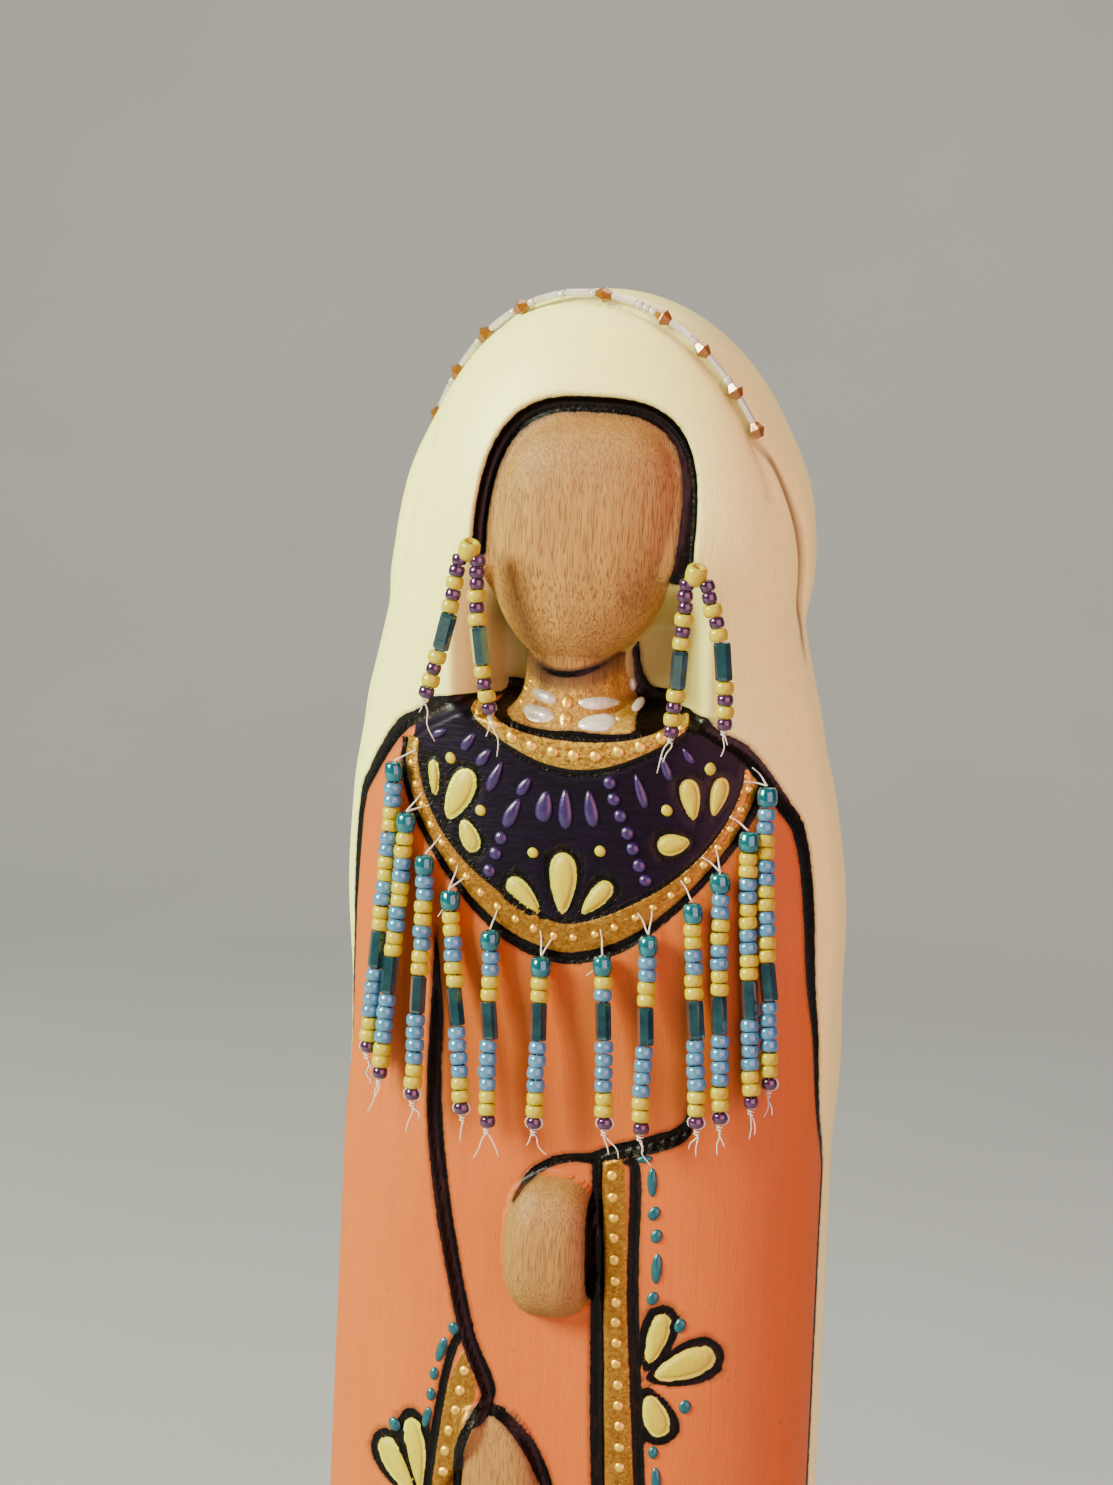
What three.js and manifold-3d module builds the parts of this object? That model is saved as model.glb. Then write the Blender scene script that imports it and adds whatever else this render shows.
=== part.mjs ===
// Wooden art doll: a veiled figure carved from one block, with glass bead earrings, fringe and headband.
// Millimetres, +Z up, front towards -Y, origin at the middle of the underside of the base.

import * as THREE from 'three';
import Module from 'manifold-3d';
import { mergeVertices } from 'three/addons/utils/BufferGeometryUtils.js';

// Overall sizes of the figure and of the low base it is carved with
const figureHeight = 292;
const bodyWidth = 59.2;
const bodyDepth = 36.4;
const headWidth = 48.2;
const headDepth = 34;
const baseHeight = 8;
const baseWidth = 68;
const baseDepth = 46;
const baseEdge = 1.6;

// Face, neck and the opening of the hood
const faceWidth = 22.8;
const faceHeight = 30.3;
const faceDepth = 7.9;
const faceLineWidth = 1.6;
const hoodRecess = 8.6;
const hoodFloorRise = 1.4;
const rimDrop = 1.9;
const neckDiameter = 11.2;
const neckFlare = 2.4;
const neckSink = 7;

// Collar: width and drop of the outer gold band
const collarWidth = 40;
const collarDrop = 19.5;

// Depths of the carving on the body
const sleeveRelief = 1.3;
const veilRelief = 0.9;
const handRelief = 4.2;
const lowHandRelief = 2.6;
const hoodGroove = 0.6;
const hoodSwell = 0.7;
const sleeveHemDrop = 5;

// Hand in front of the belly and the hand below it
const handWidth = 11.4;
const handHeight = 17.1;
const lowHandWidth = 10.5;
const lowHandHeight = 24;

// Glass beads
const seedDiameter = 2.1;
const seedHeight = 1.45;
const endBeadDiameter = 1.85;
const bugleDiameter = 1.95;
const bugleLength = 4.5;
const pinBeadDiameter = 2.4;
const earBeadDiameter = 2.6;
const biconeDiameter = 2;
const biconeLength = 1.9;
const slimBugleDiameter = 1.1;
const slimBugleLength = 3.2;
const tinyBeadDiameter = 1.15;
const tinyBeadHeight = 0.9;
const waistShare = 0.7;

// How the beads hang
const touchGap = 0.3;
const fringeSwing = 1.5;
const pinOutset = 1.3;
const pinDrop = 3.6;
const earringHang = 1.6;
const strandGap = 0.24;

// Earrings: how far out of the face and down each one hangs, and the drift and bow of its two strands
const earringPlaces = {
  left: { outset: 1.3, drop: 0, drifts: [-3.6, 2.2], bows: [0.5, -0.7] },
  right: { outset: 2.3, drop: 1, drifts: [-1, 3], bows: [0.2, 0.9] },
};

// Fineness of the faceted solids
const frontColumns = 38;
const backColumns = 9;
const beadSides = 5;

// Heights are shares of the figure's height above the base
const crownHeight = baseHeight + figureHeight;
const up = (share) => baseHeight + share * figureHeight;
const bodyHalf = bodyWidth / 2;
const headHalf = headWidth / 2;

// Outline of the block: [height share, share of half width], [height share, share of half depth]
const widthProfile = [[0, 1], [0.04, 0.985], [0.18, 0.965], [0.35, 0.977], [0.5, 0.991], [0.66, 0.982],
  [0.71, 0.987], [0.753, 1.008], [0.795, 0.976], [0.822, 0.927], [0.849, 0.895], [0.875, 0.89]];
const frontProfile = [[0, 1.03], [0.04, 1], [0.18, 0.967], [0.35, 0.99], [0.5, 1.01], [0.66, 1.005],
  [0.743, 0.978], [0.795, 0.934], [0.829, 0.9]];
const backProfile = [[0, 1.03], [0.04, 0.99], [0.18, 0.945], [0.35, 0.967], [0.66, 1], [0.76, 1],
  [0.829, 0.945]];

// Sideways lean of the block's middle: [height share, share of half body width]
const leanProfile = [[0, 0], [0.65, 0], [0.69, 0.017], [0.73, 0], [0.77, -0.019], [0.8, -0.037],
  [0.835, -0.054], [0.865, -0.057], [0.9, -0.032], [0.94, -0.024], [1, -0.044]];

// Roundness of the block's section: [height share, power of the rounded oblong]
const powerProfile = [[0, 2.9], [0.49, 3], [0.675, 2.9], [0.767, 2.45], [0.897, 2.5], [1, 2.3]];

// Edge of the veil over the shoulder: [height share, share of half body width]
const veilEdgeProfile = [[0.06, 1.2], [0.5, 1.06], [0.606, 1.0], [0.668, 0.98], [0.702, 0.963], [0.733, 0.93],
  [0.76, 0.909], [0.779, 0.885], [0.795, 0.845], [0.803, 0.797], [0.815, 0.716], [0.825, 0.628],
  [0.831, 0.527], [0.837, 0.42], [0.84, 0.3]];

// Inner edge of the left sleeve: [height share, share of half body width]
const leftSleeveProfile = [[0.44, -0.56], [0.5, -0.46], [0.555, -0.235], [0.576, -0.31], [0.6, -0.378],
  [0.632, -0.446], [0.677, -0.51], [0.72, -0.51], [0.75, -0.53]];

function smoothStep(from, to, value) {
  const t = Math.min(Math.max((value - from) / (to - from), 0), 1);
  return t * t * (3 - 2 * t);
}

function mix(a, b, t) {
  return a + (b - a) * t;
}

// Smooth curve without overshoot through [place, value] pairs
function curve(profile, place) {
  const last = profile.length - 1;
  const at = Math.min(Math.max(place, profile[0][0]), profile[last][0]);
  let i = 0;
  while (i < last - 1 && at > profile[i + 1][0]) {
    i += 1;
  }
  const rise = (k) => (profile[k + 1][1] - profile[k][1]) / (profile[k + 1][0] - profile[k][0]);
  const tangent = (k) => {
    if (k === 0) return rise(0);
    if (k === last) return rise(last - 1);
    const before = rise(k - 1);
    const after = rise(k);
    return before * after > 0 ? 2 * before * after / (before + after) : 0;
  };
  const step = profile[i + 1][0] - profile[i][0];
  const t = (at - profile[i][0]) / step;
  return profile[i][1] * (1 + 2 * t) * (1 - t) ** 2 + tangent(i) * step * t * (1 - t) ** 2
    + profile[i + 1][1] * t * t * (3 - 2 * t) + tangent(i + 1) * step * t * t * (t - 1);
}

// The hood closes over the crown as half of a rounded dome
const domeStart = 0.8836;
const share = (z) => (z - baseHeight) / figureHeight;

function domeClose(z, power) {
  const t = Math.min(Math.max((share(z) - domeStart) / (1 - domeStart), 0), 1);
  return (1 - t ** power) ** (1 / power);
}

// Half width of the block at height z: the body's profile runs into the head's own width
function halfWidthAt(z) {
  const s = share(z);
  const toHead = smoothStep(0.83, 0.885, s);
  const body = bodyHalf * curve(widthProfile, s);
  return mix(body, headHalf, toHead) * domeClose(z, 2.1);
}

function frontDepthAt(z) {
  const s = share(z);
  const body = bodyDepth / 2 * curve(frontProfile, s);
  return mix(body, headDepth / 2 * 1.01, smoothStep(0.83, 0.885, s)) * domeClose(z, 2.6);
}

function backDepthAt(z) {
  const s = share(z);
  const body = bodyDepth / 2 * curve(backProfile, s);
  return mix(body, headDepth / 2 * 0.98, smoothStep(0.83, 0.885, s)) * domeClose(z, 2.1);
}

function middleAt(z) {
  return bodyHalf * curve(leanProfile, share(z));
}

function powerAt(z) {
  return curve(powerProfile, share(z));
}

// Front of the plain block at x, z, before anything is carved into it
function blockFront(x, z) {
  const u = Math.min(Math.abs(x - middleAt(z)) / Math.max(halfWidthAt(z), 1e-6), 1);
  const n = powerAt(z);
  return -frontDepthAt(z) * (1 - u ** n) ** (1 / n);
}

// Places of the face, neck, hands and collar
const faceX = faceWidth * -0.042;
const faceLean = 0.09;
const faceMiddle = up(0.9048);
const faceTop = faceHeight * 0.492;
const faceBottom = faceHeight * 0.508;
const archX = faceX + faceWidth * 0.024;
const archLean = 0.047;
const archFoot = faceMiddle - faceHeight * 0.04;
const faceFront = headDepth / 2 + 0.4;
const neckX = faceWidth * -0.1;
const neckSetBack = headDepth * 0.24;
const shoulderTop = up(0.8375);
const handX = 0;
const handMiddle = up(0.6218);
const lowHandX = -4.6;
const lowHandTilt = 0.18;
const lowHandMiddle = up(0.512);
const collarTop = up(0.815);
const sleeveTop = up(0.661);
const sleeveBottom = up(0.46);

// Edge of the veil at height z, as a distance from the middle
function veilEdgeAt(z) {
  return bodyHalf * curve(veilEdgeProfile, share(z));
}

// Opening of the hood: 1 inside, 0 outside. Its foot is the top of the shoulders.
function hoodOpening(x, z) {
  const halfWide = faceWidth / 2 + faceLineWidth;
  const middle = archX + archLean * Math.max(z - faceMiddle, 0);
  const dx = Math.abs(x - middle) / halfWide;
  const dz = Math.max(z - archFoot, 0) / (faceMiddle + faceTop + faceLineWidth - archFoot);
  const inset = (1 - (dx ** 3 + dz ** 3) ** (1 / 3)) * halfWide;
  const aboveShoulder = z - shoulderTop - 0.5;
  return smoothStep(-0.5, 1.2, inset) * smoothStep(-2.4, 1, aboveShoulder);
}

// The face is an egg that leans a little: squarer above its middle, tapering to the chin
function faceSurface(x, z) {
  const across = Math.abs(x - faceX - faceLean * (z - faceMiddle)) / (faceWidth / 2);
  const along = Math.abs(z - faceMiddle) / (z > faceMiddle ? faceTop : faceBottom);
  const squaring = faceHeight * 0.26;
  const power = mix(1.92, 2.85, smoothStep(faceMiddle - squaring, faceMiddle + squaring, z));
  const q = across ** power + along ** power;
  return q < 1 ? -(faceFront - faceDepth) - faceDepth * (1 - q) ** 0.38 : Infinity;
}

function neckSurface(x, z) {
  const flareTop = shoulderTop + neckDiameter * 0.36;
  const flareFoot = shoulderTop - neckDiameter * 0.27;
  const radius = neckDiameter / 2 + neckFlare * smoothStep(flareTop, flareFoot, z) ** 1.5;
  const across = (x - neckX) / radius;
  if (Math.abs(across) >= 1 || z > faceMiddle - faceBottom * 0.3) {
    return Infinity;
  }
  const sunk = neckDiameter * 0.45 * smoothStep(shoulderTop - 1, shoulderTop - neckSink, z);
  return -neckSetBack - radius * Math.sqrt(1 - across * across) + sunk;
}

// Depth of carving taken off the body: the belly lies behind the sleeves, the veil behind the shoulders
function sleeveCarving(x, z) {
  const s = share(z);
  const left = smoothStep(-1.1, 1.1, x - bodyHalf * curve(leftSleeveProfile, s));
  const cuffEdge = handWidth / 2 - 0.2 + (sleeveTop - z) * 0.05;
  const upperArm = bodyHalf * 0.52;
  const ledge = sleeveTop + (x - handWidth / 2) * 0.29;
  const rightEdge = mix(cuffEdge, upperArm, smoothStep(-0.5, 0.5, z - ledge));
  const right = smoothStep(1.1, -1.1, x - rightEdge);
  const underSleeves = smoothStep(0.8, -0.8, z - sleeveBottom - Math.abs(x) * 0.45 + sleeveHemDrop);
  const belowCollar = smoothStep(up(0.745), up(0.7), z);
  const open = Math.max(left * right, underSleeves);
  const side = smoothStep(1, 0.93, Math.abs(x) / halfWidthAt(z));
  return sleeveRelief * open * belowCollar * mix(side, 1, smoothStep(up(0.5), up(0.4), z));
}

function veilCarving(x, z) {
  const outside = Math.abs(x) - veilEdgeAt(z);
  const shoulders = smoothStep(up(0.66), up(0.72), z) * smoothStep(up(0.868), up(0.827), z);
  const side = smoothStep(1, 0.96, Math.abs(x - middleAt(z)) / halfWidthAt(z));
  return veilRelief * smoothStep(-1.4, 1.4, outside) * shoulders * side;
}

// A hand: a rounded block standing out of the belly
function handShape(x, z, middleX, middleZ, width, height) {
  const q = Math.abs((x - middleX) / (width / 2)) ** 2.7 + Math.abs((z - middleZ) / (height / 2)) ** 2.7;
  return q < 1 ? (1 - q) ** 0.45 : 0;
}

// Front of the carved figure at x, z
function carvedFront(x, z) {
  const block = blockFront(x, z);
  const opening = hoodOpening(x, z);
  const besideFace = smoothStep(faceMiddle - faceBottom * 0.7, faceMiddle - faceBottom * 0.2, z);
  const floor = mix(hoodFloorRise - hoodRecess, block + rimDrop, besideFace);
  let y = mix(block, Math.max(block, floor), opening);
  y += sleeveCarving(x, z) + veilCarving(x, z);
  y = Math.min(y, neckSurface(x, z), faceSurface(x, z));
  const hand = handShape(x, z, handX, handMiddle, handWidth, handHeight);
  const tilted = x + (z - lowHandMiddle) * lowHandTilt;
  const lowHand = handShape(tilted, z, lowHandX, lowHandMiddle, lowHandWidth, lowHandHeight);
  return y - (handRelief + sleeveRelief) * hand - lowHandRelief * lowHand;
}

// Side of the hood: a groove runs down from the headband, and the back swells behind it
function sideSwell(y, z) {
  const top = smoothStep(up(0.955), up(0.92), z);
  const bottom = smoothStep(up(0.868), up(0.885), z);
  const grooveY = -headDepth * 0.24;
  const groove = Math.exp(-(((y - grooveY) / 1.2) ** 2));
  const behind = smoothStep(grooveY, grooveY + headDepth * 0.15, y);
  return (hoodSwell * behind - hoodGroove * groove) * top * bottom;
}

// One point of the figure's surface at a turn round the block (0 = +X side, 90 degrees = front)
function figurePoint(turn, z) {
  const n = powerAt(z);
  const across = Math.cos(turn);
  const x = middleAt(z) + halfWidthAt(z) * across;
  const isFront = Math.sin(turn) > 1e-9;
  const back = backDepthAt(z) * (1 - Math.abs(across) ** n) ** (1 / n);
  const y = isFront ? carvedFront(x, z) : back;
  const swell = sideSwell(y, z) * smoothStep(0.55, 0.95, Math.abs(across));
  return new THREE.Vector3(x + Math.sign(across) * swell, y, z);
}

// Turns round the block in even steps, more of them on the front
function turns() {
  const list = [];
  for (let i = 0; i < frontColumns; i += 1) {
    list.push(Math.PI * i / frontColumns);
  }
  for (let i = 0; i < backColumns; i += 1) {
    list.push(Math.PI * (1 + i / backColumns));
  }
  return list;
}

// Heights of the rows: wide steps on the plain dress, close steps where there is carving
function rowHeights() {
  const zones = [[0, 0.4, 2], [0.4, 0.585, 7], [0.585, 0.68, 9], [0.68, 0.8, 4], [0.8, 0.862, 7],
    [0.862, 0.94, 8], [0.94, 0.975, 4], [0.975, 0.9995, 4]];
  const list = [];
  for (const [from, to, count] of zones) {
    for (let i = 0; i < count; i += 1) {
      list.push(up(mix(from, to, i / count)));
    }
  }
  list.push(up(0.9995));
  return list;
}

// One point of the low base at a turn, at a height, drawn in by an inset
function basePoint(turn, z, inset) {
  const across = Math.cos(turn);
  const n = 2.6;
  const deep = (1 - Math.abs(across) ** n) ** (1 / n) * -Math.sign(Math.sin(turn));
  return new THREE.Vector3((baseWidth / 2 - inset) * across, (baseDepth / 2 - inset) * deep, z);
}

// Closed mesh from rings of points, lowest ring first, with a middle point at each end
function ringMesh(rings) {
  const count = rings[0].length;
  const points = rings.flat();
  const middle = (ring) => ring.reduce((sum, p) => sum.add(p), new THREE.Vector3()).divideScalar(count);
  const bottom = points.push(middle(rings[0])) - 1;
  const top = points.push(middle(rings[rings.length - 1])) - 1;
  const faces = [];
  for (let r = 0; r < rings.length - 1; r += 1) {
    for (let i = 0; i < count; i += 1) {
      const a = r * count + i;
      const b = r * count + (i + 1) % count;
      faces.push(a, b, b + count, a, b + count, a + count);
    }
  }
  const lastRing = (rings.length - 1) * count;
  for (let i = 0; i < count; i += 1) {
    faces.push(bottom, (i + 1) % count, i);
    faces.push(top, lastRing + i, lastRing + (i + 1) % count);
  }
  const geometry = new THREE.BufferGeometry();
  geometry.setAttribute('position', new THREE.Float32BufferAttribute(points.flatMap((p) => p.toArray()), 3));
  geometry.setIndex(faces);
  return geometry;
}

// The carved block, from the underside of the base to the crown
function makeFigure() {
  const round = turns().reverse();
  const rings = [
    round.map((turn) => basePoint(turn, 0, baseEdge * 0.4)),
    round.map((turn) => basePoint(turn, baseEdge * 0.6, 0)),
    round.map((turn) => basePoint(turn, baseHeight - baseEdge, 0)),
    round.map((turn) => basePoint(turn, baseHeight, baseEdge)),
  ];
  for (const z of rowHeights()) {
    rings.push(round.map((turn) => figurePoint(turn, z)));
  }
  return ringMesh(rings);
}

// Beads threaded on a line: each kind gives its length and its radii along it
const beadKinds = {
  seed: { length: seedHeight, radius: seedDiameter / 2, shape: 'round' },
  end: { length: seedHeight * 0.9, radius: endBeadDiameter / 2, shape: 'round' },
  bugle: { length: bugleLength, radius: bugleDiameter / 2, shape: 'tube' },
  pin: { length: pinBeadDiameter, radius: pinBeadDiameter / 2, shape: 'round' },
  bicone: { length: biconeLength, radius: biconeDiameter / 2, shape: 'round' },
  slimBugle: { length: slimBugleLength, radius: slimBugleDiameter / 2, shape: 'tube' },
  tiny: { length: tinyBeadHeight, radius: tinyBeadDiameter / 2, shape: 'round' },
};

// Places along the thread and radii there, for a list of bead kinds
function beadStations(kinds) {
  const stations = [];
  let place = 0;
  for (const kind of kinds) {
    const bead = beadKinds[kind];
    const waist = bead.radius * waistShare;
    stations.push({ place, radius: waist });
    if (bead.shape === 'round') {
      stations.push({ place: place + bead.length / 2, radius: bead.radius });
    } else {
      stations.push({ place: place + bead.length * 0.05, radius: bead.radius });
      stations.push({ place: place + bead.length * 0.95, radius: bead.radius });
    }
    place += bead.length;
  }
  const lastBead = beadKinds[kinds[kinds.length - 1]];
  stations.push({ place, radius: lastBead.radius * waistShare });
  return stations;
}

const threadLength = (kinds) => kinds.reduce((sum, kind) => sum + beadKinds[kind].length, 0);

// Beads as one closed mesh along a path given by its point at each distance
function beadMesh(kinds, pathPoint, across) {
  const rings = beadStations(kinds).map(({ place, radius }) => {
    const centre = pathPoint(place);
    const ahead = pathPoint(place + 0.05).sub(pathPoint(place - 0.05)).normalize();
    const sideways = across.clone().addScaledVector(ahead, -across.dot(ahead)).normalize();
    const upright = new THREE.Vector3().crossVectors(ahead, sideways);
    const ring = [];
    for (let i = 0; i < beadSides; i += 1) {
      const turn = 2 * Math.PI * (i + 0.25) / beadSides;
      ring.push(centre.clone().addScaledVector(sideways, radius * Math.cos(turn))
        .addScaledVector(upright, radius * Math.sin(turn)));
    }
    return ring;
  });
  return ringMesh(rings);
}

// Point in front of the plain block at x, z, standing off by a distance square to the surface
function offFront(x, z, standOff) {
  const step = 0.2;
  const slopeX = (blockFront(x + step, z) - blockFront(x - step, z)) / (2 * step);
  const slopeZ = (blockFront(x, z + step) - blockFront(x, z - step)) / (2 * step);
  const outward = new THREE.Vector3(slopeX, -1, slopeZ).normalize();
  return new THREE.Vector3(x, blockFront(x, z), z).addScaledVector(outward, standOff);
}

// Fringe: twelve strands pinned round the collar, at these angles from its left end, each with its drift
const pinAngles = [6, 21, 35, 48, 66, 84, 103.5, 119, 135.5, 147.5, 161.5, 174.5];
const strandDrifts = [-0.6, -0.8, 0.6, 3.4, 1.1, 0.4, 1.5, 0.5, 2, 1.5, 1.9, 2];
const strandPairs = [6, 5, 4, 3, 2, 1, 1, 2, 3, 4, 5, 6];
const pinRowPower = 1.74;

function pinPlace(index) {
  const angle = pinAngles[index] * Math.PI / 180;
  const wide = collarWidth / 2 + pinOutset;
  const deep = collarDrop + pinDrop;
  const turned = Math.abs(Math.cos(angle)) ** pinRowPower + Math.sin(angle) ** pinRowPower;
  const reach = turned ** (-1 / pinRowPower);
  return { x: -wide * Math.cos(angle) * reach, z: collarTop - deep * Math.sin(angle) * reach };
}

function makeFringeStrand(index) {
  const seeds = new Array(strandPairs[index] * 2).fill('seed');
  const kinds = ['pin', ...seeds, 'bugle', ...new Array(6).fill('seed'), 'end'];
  const pin = pinPlace(index);
  const length = threadLength(kinds);
  const radius = Math.max(pinBeadDiameter, seedDiameter) / 2;
  const pathPoint = (distance) => {
    const t = distance / length;
    const x = pin.x + strandDrifts[index] * t;
    const z = pin.z + pinBeadDiameter / 2 - distance;
    return offFront(x, z, radius + touchGap + fringeSwing * smoothStep(0.1, 1, t));
  };
  return beadMesh(kinds, pathPoint, new THREE.Vector3(1, 0, 0));
}

// Earrings: two strands hang from one yellow bead at the edge of the hood's opening
const earringShort = ['end', 'end', 'seed', 'end', 'seed', 'bugle', 'seed', 'end', 'seed', 'end'];
const earringLong = ['end', 'end', 'end', 'seed', 'end', 'seed', 'bugle', 'seed', 'end', 'seed', 'end'];

async function makeEarrings() {
  const wasm = await Module();
  wasm.setup();
  const toSolid = (geometry) => {
    const clean = geometry.clone();
    for (const name of Object.keys(clean.attributes)) {
      if (name !== 'position') clean.deleteAttribute(name);
    }
    const merged = mergeVertices(clean, 1e-4);
    const vertProperties = merged.attributes.position.array;
    const triVerts = merged.index.array;
    return new wasm.Manifold(new wasm.Mesh({ numProp: 3, vertProperties, triVerts }));
  };
  const toGeometry = (solid) => {
    const mesh = solid.getMesh();
    const geometry = new THREE.BufferGeometry();
    geometry.setAttribute('position', new THREE.BufferAttribute(mesh.vertProperties, 3));
    geometry.setIndex(new THREE.BufferAttribute(mesh.triVerts, 1));
    return geometry;
  };
  const hangY = -faceFront - earringHang;
  const makeOne = (side, place, kindLists) => {
    const topX = side * (faceWidth / 2 + place.outset);
    const topZ = up(0.9) - place.drop;
    const top = new THREE.SphereGeometry(earBeadDiameter / 2, 7, 5);
    top.translate(topX, hangY, topZ);
    let solid = toSolid(top);
    kindLists.forEach((kinds, i) => {
      const length = threadLength(kinds);
      const startX = (endBeadDiameter + strandGap) / 2 * (i === 0 ? -1 : 1);
      const pathPoint = (distance) => {
        const t = distance / length;
        const bow = place.bows[i] * Math.sin(Math.PI * Math.min(Math.max(t, 0), 1));
        const x = topX + startX + place.drifts[i] * t + bow;
        return new THREE.Vector3(x, hangY, topZ - earBeadDiameter * 0.2 - distance);
      };
      solid = solid.add(toSolid(beadMesh(kinds, pathPoint, new THREE.Vector3(0, 1, 0))));
    });
    return toGeometry(solid);
  };
  return {
    left: makeOne(-1, earringPlaces.left, [earringShort, earringLong]),
    right: makeOne(1, earringPlaces.right, [earringLong, earringShort]),
  };
}

// Headband: a chain over the hood, lying on the wood in a plane that turns back to the left
const bandHeading = 70;
const bandSetFront = 6.3;
const bandTurn = 0.23;
const bandLean = -0.115;
const bandStart = 0.374;
const bandKinds = ['bicone', 'slimBugle', 'tiny', 'bicone', 'slimBugle', 'tiny', 'bicone', 'slimBugle',
  'tiny', 'bicone', 'tiny', 'slimBugle', 'tiny', 'slimBugle', 'tiny', 'bicone', 'slimBugle', 'tiny',
  'tiny', 'tiny', 'bicone', 'slimBugle', 'tiny', 'bicone', 'slimBugle', 'tiny', 'bicone', 'slimBugle',
  'bicone'];

function bandPath() {
  const middleZ = up(0.9);
  const bandY = (x, z) => -bandSetFront - bandTurn * x - bandLean * Math.max(crownHeight - z, 0);
  const hold = (x, y, z) => {
    if (z >= crownHeight) return 2;
    const n = powerAt(z);
    return Math.abs((x - middleAt(z)) / halfWidthAt(z)) ** n + Math.abs(y / frontDepthAt(z)) ** n;
  };
  const onHood = (degrees) => {
    const turn = degrees * Math.PI / 180;
    let inner = 0;
    let outer = headWidth;
    for (let i = 0; i < 40; i += 1) {
      const middle = (inner + outer) / 2;
      const x = middle * Math.sin(turn);
      const z = middleZ + middle * Math.cos(turn);
      const isInside = hold(x, bandY(x, z), z) < 1;
      if (isInside) inner = middle;
      else outer = middle;
    }
    const across = inner * Math.sin(turn);
    const height = middleZ + inner * Math.cos(turn);
    return new THREE.Vector3(across, bandY(across, height), height);
  };
  const points = [];
  for (let i = 0; i <= 60; i += 1) {
    const degrees = mix(-bandHeading, bandHeading, i / 60);
    const here = onHood(degrees);
    const along = onHood(degrees + 0.5).sub(onHood(degrees - 0.5)).normalize();
    const outward = new THREE.Vector3(-along.z, 0, along.x).normalize();
    outward.add(new THREE.Vector3(0, -0.35 * Math.cos(degrees * Math.PI / 180), 0)).normalize();
    points.push(here.addScaledVector(outward, biconeDiameter / 2 + touchGap * 1.4));
  }
  return new THREE.CatmullRomCurve3(points);
}

function makeHeadband() {
  const path = bandPath();
  const pathLength = path.getLength();
  const spare = (pathLength - threadLength(bandKinds)) * bandStart;
  const pathPoint = (distance) => {
    const at = Math.min(Math.max((distance + spare) / pathLength, 0), 1);
    return path.getPointAt(at);
  };
  return beadMesh(bandKinds, pathPoint, new THREE.Vector3(0, 1, 0));
}

function paint(colour, roughness, metalness) {
  return new THREE.MeshStandardMaterial({ color: colour, roughness, metalness, flatShading: true });
}

function addPiece(group, name, geometry, material) {
  const mesh = new THREE.Mesh(geometry, material);
  mesh.name = name;
  group.add(mesh);
}

const doll = new THREE.Group();
const earrings = await makeEarrings();
addPiece(doll, 'figure', makeFigure(), paint('#dc8660', 0.6, 0));
addPiece(doll, 'headband_beads', makeHeadband(), paint('#c88a4a', 0.25, 0.2));
addPiece(doll, 'earring_left', earrings.left, paint('#d8c832', 0.25, 0));
addPiece(doll, 'earring_right', earrings.right, paint('#d8c832', 0.25, 0));
for (let i = 0; i < strandPairs.length; i += 1) {
  const name = `fringe_strand_${String(i + 1).padStart(2, '0')}`;
  addPiece(doll, name, makeFringeStrand(i), paint('#78aad0', 0.2, 0.1));
}

export default doll;
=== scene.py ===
import math

import bmesh
import bpy
import numpy as np
from mathutils import Matrix, Vector


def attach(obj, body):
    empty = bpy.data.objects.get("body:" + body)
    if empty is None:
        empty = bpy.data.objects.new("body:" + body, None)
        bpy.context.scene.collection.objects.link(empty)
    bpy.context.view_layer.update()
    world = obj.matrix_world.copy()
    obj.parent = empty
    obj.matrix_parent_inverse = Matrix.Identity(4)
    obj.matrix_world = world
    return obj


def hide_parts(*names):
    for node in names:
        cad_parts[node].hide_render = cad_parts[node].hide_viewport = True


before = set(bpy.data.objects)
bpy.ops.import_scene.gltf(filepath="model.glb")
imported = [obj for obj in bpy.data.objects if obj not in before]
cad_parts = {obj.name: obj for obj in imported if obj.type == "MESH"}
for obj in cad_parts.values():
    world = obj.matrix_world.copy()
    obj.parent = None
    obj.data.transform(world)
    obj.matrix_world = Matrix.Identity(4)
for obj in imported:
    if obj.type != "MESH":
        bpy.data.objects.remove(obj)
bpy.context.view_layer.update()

mm = 0.001  # shapes are worked out in millimetres and made in metres
farOff = 5.0  # no distance on the surface matters beyond this

# The carved block: its overall sizes, as the frame has them
block = {
    "figureHeight": 292.0,
    "baseHeight": 8.0,
    "bodyWidth": 59.2,
    "bodyDepth": 36.4,
    "headWidth": 48.2,
    "headDepth": 34.0,
    "domeStart": 0.8836,  # share of the height from which the hood closes
    "baseWidth": 68.0,
    "baseDepth": 46.0,
    "basePower": 2.6,
    # the base's edge, from the underside up: inset and height
    "baseSteps": [(0.64, 0), (0.2, 0.3), (0, 0.96), (0, 3.4), (0, 6.4), (0.25, 7.15), (0.75, 7.7),
                  (1.6, 8.0)],
}

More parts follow.
